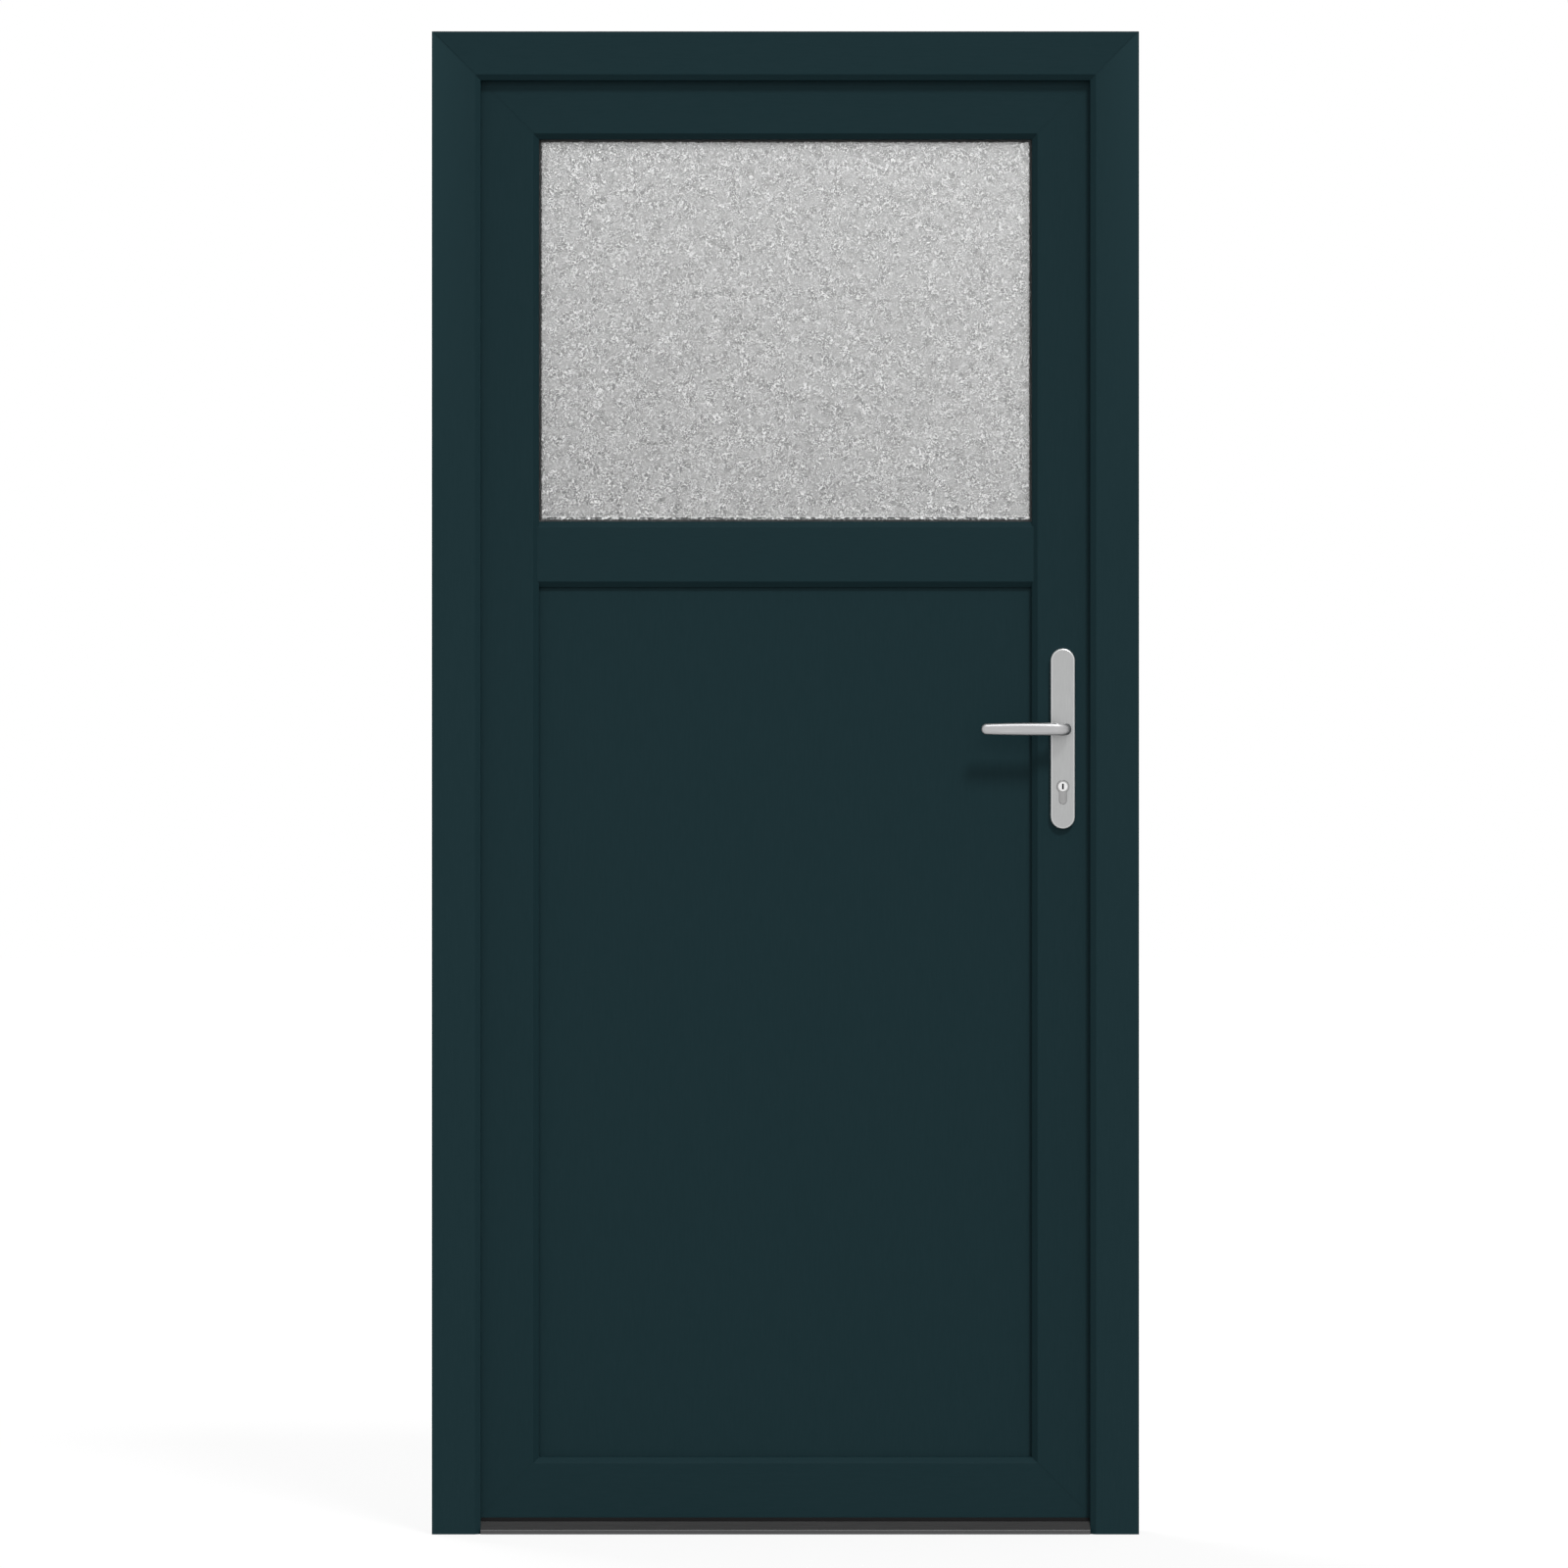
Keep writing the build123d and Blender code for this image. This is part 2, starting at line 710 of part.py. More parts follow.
def cylinder_outline(play):
    """Outline of the profile cylinder: a round top and a narrow round-ended tail."""
    half_tail = cylinder_tail_width / 2
    with Locations((lock_x, cylinder_height)):
        Circle(cylinder_radius + play)
    with Locations((lock_x, cylinder_height - cylinder_tail_drop + half_tail)):
        Circle(half_tail + play)
    span(
        (lock_x - half_tail - play, cylinder_height - cylinder_tail_drop + half_tail),
        (lock_x + half_tail + play, cylinder_height),
    )


plate_screw_heights = (plate_centre - plate_screw_reach, plate_centre + plate_screw_reach)


def handle_holes():
    """Holes through the lock stile for the spindle, the cylinder and the plate screws."""
    with BuildSketch(depth_plane(sash_front)) as holes:
        with Locations((lock_x, lever_height)):
            Circle(stile_spindle_radius)
        cylinder_outline(cylinder_play)
        with Locations(*[(lock_x, height) for height in plate_screw_heights]):
            Circle(plate_boss_radius + screw_play)
    extrude(holes.sketch, amount=-sash_depth, mode=Mode.SUBTRACT)


# Hinge stile.
with BuildPart() as sash_hinge_stile:
    trims = [(top_left, Keep.BOTTOM), (bottom_left, Keep.BOTTOM), (foot, Keep.TOP)]
    left_stile_side = left_side.offset(rail_datum)
    add(bar(flanged, left_stile_side, door_height - rail_datum, trims))
    clean_welds(top_welds + foot_welds, sash_front, sash_back)
    screw_holes(sash_screw_planes, hinge_screw_head, hinge_screw_shank, hinge_screw_length)
save(sash_hinge_stile.part, "sash_hinge_stile")

# Lock stile, with the pocket for the lock case behind its hardware groove.
with BuildPart() as sash_lock_stile:
    trims = [(top_right, Keep.BOTTOM), (bottom_right, Keep.BOTTOM), (foot, Keep.TOP)]
    add(bar(flanged, right_side, door_height - rail_datum, trims))
    clean_welds(top_welds + foot_welds, sash_front, sash_back)
    with BuildSketch(depth_plane(case_front - case_play)):
        span(
            (half_width - main_bay_near, case_bottom - case_play),
            (face_plate_back, case_top + case_play),
        )
    extrude(amount=-case_thickness - 2 * case_play, mode=Mode.SUBTRACT)
    handle_holes()
    screw_holes(face_screw_planes, small_screw_head, small_screw_shank, face_plate_screw_length)
save(sash_lock_stile.part, "sash_lock_stile")

# Top and bottom rails. The bottom rail has no flange, so that it clears the floor.
with BuildPart() as sash_top_rail:
    add(bar(flanged, top_side, door_width, [(top_left, Keep.TOP), (top_right, Keep.TOP)]))
    clean_welds(top_welds, sash_front, sash_back)
save(sash_top_rail.part, "sash_top_rail")

with BuildPart() as sash_bottom_rail:
    add(bar(plain, bottom_side, door_width, [(bottom_left, Keep.TOP), (bottom_right, Keep.TOP)]))
    clean_welds(foot_welds, sash_front, sash_back)
save(sash_bottom_rail.part, "sash_bottom_rail")

# Transom: a T with a leg up and a leg down, its ends coped over the stiles' legs.
transom_bevel_start = transom_half - sash_bevel
with BuildSketch() as transom_section:
    with BuildLine():
        Polyline(
            (-transom_bevel_start, transom_front),
            (transom_bevel_start, transom_front),
            (transom_half, transom_front + transom_bevel_drop),
            (transom_half, leg_back),
            (transom_body, leg_back),
            (transom_body, sash_back),
            (-transom_body, sash_back),
            (-transom_body, leg_back),
            (-transom_half, leg_back),
            (-transom_half, transom_front + transom_bevel_drop),
            close=True,
        )
    make_face()
    rounded = []
    for way in (-1, 1):
        rounded.append((way * transom_bevel_start, transom_front))
        rounded.append((way * transom_half, transom_front + transom_bevel_drop))
    soften(transom_section, rounded, profile_arris)
    transom_bay = transom_body - profile_wall
    span((-transom_bay, main_bay_front), (transom_bay, main_bay_back), Mode.SUBTRACT)
    transom_back_bay = transom_bay - bead_foot_length
    span((-transom_back_bay, back_bay_front), (transom_back_bay, sash_back - profile_wall), Mode.SUBTRACT)
    for way in (-1, 1):
        groove = way * (transom_half - seal_foot_inset - seal_foot_width / 2)
        with Locations((groove, leg_back - seal_foot_depth / 2)):
            Rectangle(seal_foot_width, seal_foot_depth, mode=Mode.SUBTRACT)
        foot_groove = way * (transom_body - (bead_foot_length + bead_play) / 2)
        with Locations((foot_groove, (bead_groove_front + bead_groove_back) / 2)):
            Rectangle(bead_foot_length + bead_play, bead_groove_back - bead_groove_front, mode=Mode.SUBTRACT)

transom_side = Plane(
    (half_width - glazing_floor, -half_depth, transom_height), x_dir=(0, 0, 1), z_dir=(-1, 0, 0)
)
with BuildSketch() as stile_leg:
    with BuildLine():
        Polyline(
            (glazing_floor, sash_front),
            (sash_bevel_start, sash_front),
            (sash_sight, sash_front + sash_bevel_drop),
            (sash_sight, leg_back),
            (glazing_floor, leg_back),
            close=True,
        )
    make_face()

with BuildPart() as sash_transom:
    add(bar(transom_section.sketch, transom_side, 2 * (half_width - glazing_floor), []))
    with BuildSketch(left_side, right_side) as legs:
        add(stile_leg.sketch)
    extrude(legs.sketch, amount=door_height, mode=Mode.SUBTRACT)
save(sash_transom.part, "sash_transom")

# Steel in the stiles, the rails and the transom.
channel_ends = [
    (Plane((0, 0, panel_sight_low), z_dir=(0, 0, 1)), Keep.TOP),
    (Plane((0, 0, glass_sight_high), z_dir=(0, 0, 1)), Keep.BOTTOM),
]
with BuildPart() as stile_steels:
    for plane in (left_side, right_side):
        add(bar(sash_steel_section.sketch, plane, door_height, channel_ends))
    handle_holes()
    screw_holes(sash_screw_planes, hinge_screw_head, hinge_screw_shank, hinge_screw_length)
save(stile_steels.part, "stile_steels")

rail_ends = [
    (Plane((-sight_x, 0, 0), z_dir=(1, 0, 0)), Keep.TOP),
    (Plane((sight_x, 0, 0), z_dir=(1, 0, 0)), Keep.BOTTOM),
]
with BuildPart() as rail_steels:
    for plane in (top_side, bottom_side):
        add(bar(sash_steel_section.sketch, plane, door_width, rail_ends))
save(rail_steels.part, "rail_steels")

with BuildSketch() as transom_steel_section:
    tube_low = (slide_slack - transom_bay, main_bay_front + slide_slack)
    tube_high = (transom_bay - slide_slack, main_bay_back - slide_slack)
    span(tube_low, tube_high)
    span(
        (tube_low[0] + steel_wall, tube_low[1] + steel_wall),
        (tube_high[0] - steel_wall, tube_high[1] - steel_wall),
        Mode.SUBTRACT,
    )
with BuildPart() as transom_steel:
    add(bar(transom_steel_section.sketch, transom_side, 2 * (half_width - glazing_floor), rail_ends))
save(transom_steel.part, "transom_steel")

# Glass unit and lower panel: two panes on a hollow spacer, and a flush sandwich panel.
glass_low = (glazing_floor + glazing_play - half_width, transom_height + transom_body + glazing_play)
glass_high = (half_width - glazing_floor - glazing_play, door_height - glazing_floor - glazing_play)
panel_low = (glass_low[0], rail_datum + glazing_floor + glazing_play)
panel_high = (glass_high[0], transom_height - transom_body - glazing_play)

with BuildPart() as outer_pane:
    with BuildSketch(depth_plane(glass_front)):
        span(glass_low, glass_high)
    extrude(amount=-glass_pane)
save(outer_pane.part, "outer_pane")

with BuildPart() as inner_pane:
    with BuildSketch(depth_plane(glass_back - glass_pane)):
        span(glass_low, glass_high)
    extrude(amount=-glass_pane)
save(inner_pane.part, "inner_pane")

with BuildPart() as spacer_bar:
    with BuildSketch(depth_plane(glass_front + glass_pane)):
        hoop(glass_low, glass_high, -spacer_inset, spacer_inset + spacer_width)
    extrude(amount=-glass_cavity)
save(spacer_bar.part, "spacer_bar")

with BuildPart() as lower_panel:
    with BuildSketch(depth_plane(glass_front)):
        span(panel_low, panel_high)
    extrude(amount=-glass_unit)
save(lower_panel.part, "lower_panel")

# Setting blocks between the sash and the edges of the glass and the panel.
with BuildPart() as glazing_packers:
    for low, high in ((glass_low, glass_high), (panel_low, panel_high)):
        with BuildSketch(depth_plane(glass_front)):
            for middle in (low[0] + packer_inset, high[0] - packer_inset):
                half_packer = packer_length / 2
                span((middle - half_packer, low[1] - glazing_play), (middle + half_packer, low[1]))
            for side_low in (low[0] - glazing_play, high[0]):
                for middle in (low[1] + packer_inset, high[1] - packer_inset):
                    span((side_low, middle - half_packer), (side_low + glazing_play, middle + half_packer))
        extrude(amount=-glass_unit)
save(glazing_packers.part, "glazing_packers")

# Glazing seals: outside, feet in the legs' grooves; inside, between glass and beads.
openings = (
    ((-sight_x, glass_sight_low), (sight_x, glass_sight_high)),
    ((-sight_x, panel_sight_low), (sight_x, panel_sight_high)),
)
foot_reach = seal_foot_inset + seal_foot_width
transom_feet = (glass_sight_low - foot_reach, panel_sight_high + seal_foot_inset)
with BuildPart() as glazing_seals_outer:
    for (low, high), transom_foot in zip(openings, transom_feet):
        with BuildSketch(depth_plane(leg_back - seal_foot_depth)):
            hoop(low, high, foot_reach, -seal_foot_inset)
            for end in (-sight_x - seal_foot_inset, sight_x):
                notch_high = (end + seal_foot_inset, transom_foot + seal_foot_width)
                span((end, transom_foot), notch_high, Mode.SUBTRACT)
        extrude(amount=-seal_foot_depth)
        with BuildSketch(depth_plane(leg_back)):
            hoop(low, high, glazing_seal_inset, -glazing_seal_setback)
        extrude(amount=-glazing_seal)
save(glazing_seals_outer.part, "glazing_seals_outer")

with BuildPart() as glazing_seals_inner:
    for low, high in openings:
        with BuildSketch(depth_plane(glass_back)):
            hoop(low, high, glazing_seal_inset, inner_seal_proud)
        extrude(amount=-glazing_seal)
save(glazing_seals_inner.part, "glazing_seals_inner")

# Glazing beads: mitred strips with a sloped face, clipped into the sash by a foot.
with BuildSketch() as bead_section:
    with BuildLine():
        Polyline(
            (0, bead_front),
            (glazing_rebate, bead_front),
            (glazing_rebate, bead_front + bead_nose),
            (bead_heel, sash_back),
            (0, sash_back),
            close=True,
        )
    make_face()
    soft = [(glazing_rebate, bead_front + bead_nose), (bead_heel, sash_back)]
    soften(bead_section, soft, bead_nose / 2)
    foot_front = sash_back - bead_foot_setback
    span((-bead_foot_length, foot_front), (0, foot_front + bead_foot_width))


def beads(low, high, upright):
    """The two upright or the two level beads of an opening, from its rebate corners."""
    corners = {}
    for side in (-1, 1):
        for up in (-1, 1):
            at = (low[0] if side < 0 else high[0], 0, low[1] if up < 0 else high[1])
            corners[side, up] = Plane(at, z_dir=(-side, 0, up))
    with BuildPart() as pair:
        for way in (-1, 1):
            if upright:
                at = (low[0] if way < 0 else high[0], -half_depth, low[1] if way < 0 else high[1])
                plane = Plane(at, x_dir=(-way, 0, 0), z_dir=(0, 0, -way))
                trims = [(corners[way, 1], Keep.BOTTOM), (corners[way, -1], Keep.BOTTOM)]
                add(bar(bead_section.sketch, plane, high[1] - low[1], trims))
            else:
                at = (high[0] if way < 0 else low[0], -half_depth, low[1] if way < 0 else high[1])
                plane = Plane(at, x_dir=(0, 0, -way), z_dir=(way, 0, 0))
                trims = [(corners[-1, way], Keep.TOP), (corners[1, way], Keep.TOP)]
                add(bar(bead_section.sketch, plane, high[0] - low[0], trims))
    return pair.part


glass_rebate = (
    (glazing_floor - half_width, transom_height + transom_body),
    (half_width - glazing_floor, door_height - glazing_floor),
)
panel_rebate = (
    (glazing_floor - half_width, rail_datum + glazing_floor),
    (half_width - glazing_floor, transom_height - transom_body),
)
save(beads(*glass_rebate, True), "glass_side_beads")
save(beads(*glass_rebate, False), "glass_cross_beads")
save(beads(*panel_rebate, True), "panel_side_beads")
save(beads(*panel_rebate, False), "panel_cross_beads")

# Seal between the sash flange and the room face of the frame, on three sides.
back_seal_far = flange_edge + profile_wall / 2
with BuildPart() as sash_seal:
    with BuildSketch(depth_plane(frame_depth + touch_gap)):
        frame_strip(back_seal_far, back_seal_far + back_seal_width)
    extrude(amount=touch_gap - flange_gap)
save(sash_seal.part, "sash_seal")

# Bottom seal: a carrier under the bottom rail with two fins over the threshold.
seal_middle = (sash_front + frame_depth) / 2
with BuildPart() as bottom_seal:
    with BuildSketch(Plane((sash_edge - half_width, -half_depth, 0), x_dir=(0, 1, 0), z_dir=(1, 0, 0))):
        half_carrier = bottom_seal_width / 2
        carrier_low = (seal_middle - half_carrier, sash_bottom - bottom_seal_plate)
        span(carrier_low, (seal_middle + half_carrier, sash_bottom))
        for way in (-1, 1):
            fin = seal_middle + way * bottom_seal_fin_spacing / 2
            fin_low = threshold_floor + touch_gap
            span((fin, fin_low), (fin + bottom_seal_fin, sash_bottom - bottom_seal_plate))
    extrude(amount=2 * (half_width - sash_edge))
save(bottom_seal.part, "bottom_seal")

# Hinges. The frame leaf carries the end knuckles, the sash leaf the middle one.
end_knuckle = (hinge_height - knuckle_height) / 2 - knuckle_gap
barrel_y = hinge_depth - half_depth
pin_bore = pin_radius + pin_fit
bush_radius = pin_bore + bush_wall


def barrel(low, height, outer, inner):
    """Barrel or sleeve on the hinge axis, added to the part that is being built."""
    with BuildSketch(Plane((hinge_x, barrel_y, low))) as ring:
        Circle(outer)
        Circle(inner, mode=Mode.SUBTRACT)
    extrude(ring.sketch, amount=height)


def frame_leaf(height):
    """Frame half of one hinge: a screwed plate, a web and two knuckles."""
    low = height - hinge_height / 2
    knuckle_lows = (low, height + knuckle_height / 2 + knuckle_gap)
    plate_low_x = hinge_x + frame_leaf_web / 2 - frame_leaf_width
    with BuildPart() as leaf:
        with BuildSketch(depth_plane(frame_depth)):
            span((plate_low_x, low), (plate_low_x + frame_leaf_width, low + hinge_height))
        extrude(amount=-frame_leaf_thickness)
        fillet(leaf.edges().filter_by(Axis.Y), leaf_corner)
        for knuckle_low in knuckle_lows:
            with BuildSketch(depth_plane(frame_depth)):
                half_web = frame_leaf_web / 2
                span((hinge_x - half_web, knuckle_low), (hinge_x + half_web, knuckle_low + end_knuckle))
            extrude(amount=-hinge_axis_stand)
            barrel(knuckle_low, end_knuckle, barrel_radius, pin_bore)
        with BuildSketch(Plane((hinge_x, barrel_y, low))) as bore:
            Circle(pin_bore)
        extrude(bore.sketch, amount=hinge_height, mode=Mode.SUBTRACT)
        screw_holes(frame_screw_planes, hinge_screw_head, hinge_screw_shank, hinge_screw_length)
    return leaf.part


def sash_leaf(height):
    """Sash half of one hinge: a screwed plate, an arm and the middle knuckle."""
    low = height - hinge_height / 2
    plate_low_x = flange_edge + sash_leaf_setback - half_width
    with BuildPart() as leaf:
        with BuildSketch(depth_plane(sash_back)):
            span((plate_low_x, low), (plate_low_x + sash_leaf_width, low + hinge_height))
        extrude(amount=-sash_leaf_thickness)
        fillet(leaf.edges().filter_by(Axis.Y), leaf_corner)
        arm_low = height - knuckle_height / 2
        with BuildSketch(depth_plane(sash_back)):
            span((hinge_x, arm_low), (plate_low_x + sash_leaf_width / 2, arm_low + knuckle_height))
        extrude(amount=-sash_leaf_thickness)
        with BuildSketch(Plane((hinge_x, barrel_y, arm_low))) as ring:
            Circle(barrel_radius)
        extrude(ring.sketch, amount=knuckle_height)
        with BuildSketch(Plane((hinge_x, barrel_y, arm_low))) as bore:
            Circle(bush_radius)
        extrude(bore.sketch, amount=knuckle_height, mode=Mode.SUBTRACT)
        screw_holes(sash_screw_planes, hinge_screw_head, hinge_screw_shank, hinge_screw_length)
    return leaf.part


for height, place in zip(hinge_heights, ("bottom", "middle", "top")):
    save(frame_leaf(height), f"hinge_frame_leaf_{place}")
    save(sash_leaf(height), f"hinge_sash_leaf_{place}")

with BuildPart() as hinge_pins:
    for height in hinge_heights:
        low = height - hinge_height / 2
        with BuildSketch(Plane((hinge_x, barrel_y, low))) as shank:
            Circle(pin_radius)
        extrude(shank.sketch, amount=hinge_height)
        with BuildSketch(Plane((hinge_x, barrel_y, low + hinge_height))) as head:
            Circle(pin_head_radius)
        extrude(head.sketch, amount=pin_head_height)
save(hinge_pins.part, "hinge_pins")

with BuildPart() as hinge_bushes:
    for height in hinge_heights:
        barrel(height - knuckle_height / 2, knuckle_height, bush_radius, pin_bore)
save(hinge_bushes.part, "hinge_bushes")

save(
    screws(frame_screw_planes, hinge_screw_head, hinge_screw_shank, hinge_screw_length),
    "hinge_frame_screws",
)
save(
    screws(sash_screw_planes, hinge_screw_head, hinge_screw_shank, hinge_screw_length),
    "hinge_sash_screws",
)

# Lock case: a flat box, open towards the face plate.
with BuildPart() as lock_case:
    with BuildSketch(depth_plane(case_front)):
        span((case_back_x, case_bottom), (face_plate_back, case_top))
    extrude(amount=-case_thickness)
    with BuildSketch(depth_plane(case_front + case_wall)):
        span((case_back_x + case_wall, case_bottom + case_wall), (face_plate_back, case_top - case_wall))
    extrude(amount=2 * case_wall - case_thickness, mode=Mode.SUBTRACT)
    with BuildSketch(depth_plane(case_front)):
        with Locations((lock_x, lever_height)):
            Circle(follower_radius + follower_fit)
        cylinder_outline(cylinder_play)
    extrude(amount=-case_thickness, mode=Mode.SUBTRACT)
save(lock_case.part, "lock_case")

# Face plate in the hardware groove, with windows for the two bolts.
half_latch = latch_thickness / 2
with BuildPart() as lock_faceplate:
    plate_low = face_plate_centre - face_plate_length / 2
    with BuildSketch(depth_plane(lock_plane_depth - face_plate_width / 2)):
        span((face_plate_back, plate_low), (face_x, plate_low + face_plate_length))
    extrude(amount=-face_plate_width)
    with BuildSketch(depth_plane(lock_plane_depth - half_latch - bolt_play)):
        for low, high in ((latch_low, latch_high), (dead_low, dead_high)):
            span((face_plate_back, low - bolt_play), (face_x, high + bolt_play))
    extrude(amount=-latch_thickness - 2 * bolt_play, mode=Mode.SUBTRACT)
    cylinder_screw_plane = Plane(
        (face_x, lock_y, cylinder_height - cylinder_screw_drop),
        x_dir=(0, 1, 0),
        z_dir=(-1, 0, 0),
    )
    screw_holes(face_screw_planes, small_screw_head, small_screw_shank, face_plate_screw_length)
    screw_holes([cylinder_screw_plane], cylinder_screw_head, cylinder_screw_shank, cylinder_screw_length)
save(lock_faceplate.part, "lock_faceplate")
save(
    screws(face_screw_planes, small_screw_head, small_screw_shank, face_plate_screw_length),
    "faceplate_screws",
)
save(
    screws([cylinder_screw_plane], cylinder_screw_head, cylinder_screw_shank, cylinder_screw_length),
    "cylinder_screw",
)

# Latch bolt: a wedge-nosed head, a tail over the follower, and the lug the follower pulls.
latch_tip = face_x + latch_projection
latch_back = latch_tip - latch_projection - latch_head_length
lug_face = lock_x - follower_arm_width / 2 - latch_lug_gap
tail_low = lever_height + latch_tail_rise
with BuildPart() as latch_bolt:
    with BuildSketch(Plane.XY.offset(latch_low)):
        with BuildLine():
            Polyline(
                (latch_back, lock_y - half_latch),
                (face_x, lock_y - half_latch),
                (latch_tip, lock_y + half_latch - latch_nose_flat),
                (latch_tip, lock_y + half_latch),
                (latch_back, lock_y + half_latch),
                close=True,
            )
        make_face()
    extrude(amount=latch_head_height)
    with BuildSketch(depth_plane(lock_plane_depth - latch_tail_thickness / 2)):
        span((lug_face - latch_lug_width, tail_low), (latch_back, tail_low + latch_tail_height))
        span((lug_face - latch_lug_width, lever_height + latch_lug_rise), (lug_face, tail_low))
    extrude(amount=-latch_tail_thickness)
save(latch_bolt.part, "latch_bolt")

# Latch spring: a strip of steel with its foot on the back of the case, bowed against the tail.
with BuildPart() as latch_spring:
    strip_x = case_back_x + case_wall + spring_strip / 2
    strip_tip_x = lug_face - latch_lug_width - spring_gap - spring_strip
    strip_low = lever_height - spring_foot_drop
    with BuildSketch(depth_plane(lock_plane_depth - spring_width / 2)):
        with BuildLine() as strip:
            Line((strip_x, strip_low), (strip_x, strip_low + spring_foot_length))
            TangentArc(
                (strip_x, strip_low + spring_foot_length),
                (strip_tip_x, lever_height + spring_tip_rise),
                tangent=(0, 1),
            )
        trace(strip.line, spring_strip)
    extrude(amount=-spring_width)
save(latch_spring.part, "latch_spring")

# Dead bolt.
with BuildPart() as dead_bolt:
    dead_face = face_x - dead_bolt_setback
    with BuildSketch(depth_plane(lock_plane_depth - half_latch)):
        span((dead_face - dead_bolt_length, dead_low), (dead_face, dead_high))
    extrude(amount=-latch_thickness)
    front_edges = dead_bolt.faces().sort_by(Axis.X)[-1].edges()
    fillet(front_edges, dead_bolt_corner)
save(dead_bolt.part, "dead_bolt")

# Follower: a hub turning in the case, with a square hole and an arm up to the latch lug.
with BuildPart() as follower:
    with BuildSketch(depth_plane(case_front)):
        with Locations((lock_x, lever_height)):
            Circle(follower_radius)
    extrude(amount=-case_thickness)
    with BuildSketch(depth_plane(lock_plane_depth - follower_arm_thickness / 2)):
        span(
            (lock_x - follower_arm_width / 2, lever_height),
            (lock_x + follower_arm_width / 2, lever_height + follower_arm_length),
        )
    extrude(amount=-follower_arm_thickness)
    with BuildSketch(depth_plane(case_front)):
        with Locations((lock_x, lever_height)):
            Rectangle(spindle_side + 2 * spindle_fit, spindle_side + 2 * spindle_fit)
    extrude(amount=-case_thickness, mode=Mode.SUBTRACT)
save(follower.part, "follower")

# Profile cylinder: body with a gap for the cam, two plugs, the cam and its fixing screw.
cylinder_front = sash_front - plate_thickness - cylinder_proud
cylinder_back = sash_back + plate_thickness + cylinder_proud
cam_front = lock_plane_depth - cam_width / 2
cam_back = lock_plane_depth + cam_width / 2
with BuildPart() as cylinder_body:
    with BuildSketch(depth_plane(cylinder_front)):
        cylinder_outline(0)
    extrude(amount=cylinder_front - cylinder_back)
    with BuildSketch(depth_plane(cylinder_front)):
        with Locations((lock_x, cylinder_height)):
            Circle(plug_radius + plug_fit)
    extrude(amount=cylinder_front - cylinder_back, mode=Mode.SUBTRACT)
    with BuildSketch(depth_plane(cam_front - cam_gap)):
        with Locations((lock_x, cylinder_height)):
            Circle(cam_radius + cam_gap)
    extrude(amount=-cam_width - 2 * cam_gap, mode=Mode.SUBTRACT)
    screw_holes([cylinder_screw_plane], cylinder_screw_head, cylinder_screw_shank, cylinder_screw_length)
save(cylinder_body.part, "cylinder_body")


def plug(outer_depth, inner_depth):
    """Plug between two depths, with a keyway in its outer end."""
    way = 1 if inner_depth > outer_depth else -1
    with BuildPart() as core:
        with BuildSketch(depth_plane(outer_depth)):
            with Locations((lock_x, cylinder_height)):
                Circle(plug_radius)
        extrude(amount=outer_depth - inner_depth)
        with BuildSketch(depth_plane(outer_depth)):
            with Locations((lock_x, cylinder_height)):
                Rectangle(keyway_width, keyway_height)
        extrude(amount=-way * keyway_depth, mode=Mode.SUBTRACT)
    return core.part


save(plug(cylinder_front - plug_proud, cam_front), "outer_plug")
save(plug(cylinder_back + plug_proud, cam_back + cam_gap), "inner_plug")

with BuildPart() as cylinder_cam:
    with BuildSketch(depth_plane(cam_front)):
        with Locations((lock_x, cylinder_height)):
            Circle(cam_hub_radius)
        half_tongue = cam_tongue_width / 2
        tongue_end = cylinder_height - cam_radius + half_tongue
        span((lock_x - half_tongue, tongue_end), (lock_x + half_tongue, cylinder_height))
        with Locations((lock_x, tongue_end)):
            Circle(half_tongue)
    extrude(amount=-cam_width)
save(cylinder_cam.part, "cylinder_cam")

# Handle plates: long rounded shields with a soft rim, screwed together through the sash.
plate_screw_planes = [
    Plane((lock_x, sash_back + plate_thickness - half_depth, height), x_dir=(1, 0, 0), z_dir=(0, -1, 0))
    for height in plate_screw_heights
]
plate_screw_length = plate_thickness + sash_depth + plate_screw_bite


def handle_plate(face, out):
    """Plate on one face of the lock stile; out is 1 outdoors and -1 indoors."""
    with BuildPart() as plate:
        with BuildSketch(depth_plane(face)):
            with Locations((lock_x, plate_centre)):
                SlotOverall(plate_height, plate_width, rotation=90)
        extrude(amount=out * plate_thickness)
        outer_face = plate.faces().sort_by(Axis.Y)[0 if out > 0 else -1]
        fillet(outer_face.edges(), plate_rim)
        with BuildSketch(depth_plane(face)):
            with Locations((lock_x, plate_centre)):
                SlotOverall(plate_height - 2 * plate_shell, plate_width - 2 * plate_shell, rotation=90)
            with Locations(*[(lock_x, height) for height in plate_screw_heights]):
                Circle(plate_boss_radius, mode=Mode.SUBTRACT)
        extrude(amount=out * (plate_thickness - plate_shell), mode=Mode.SUBTRACT)
        with BuildSketch(depth_plane(face)):
            with Locations((lock_x, lever_height)):
                Circle(neck_radius + neck_play)
            cylinder_outline(cylinder_play)
        extrude(amount=out * plate_thickness, mode=Mode.SUBTRACT)
        screw_holes(plate_screw_planes, plate_screw_head, plate_screw_shank, plate_screw_length)
    return plate.part


save(handle_plate(sash_front, 1), "handle_plate_outer")
save(handle_plate(sash_back, -1), "handle_plate_inner")
save(screws(plate_screw_planes, plate_screw_head, plate_screw_shank, plate_screw_length), "plate_screws")


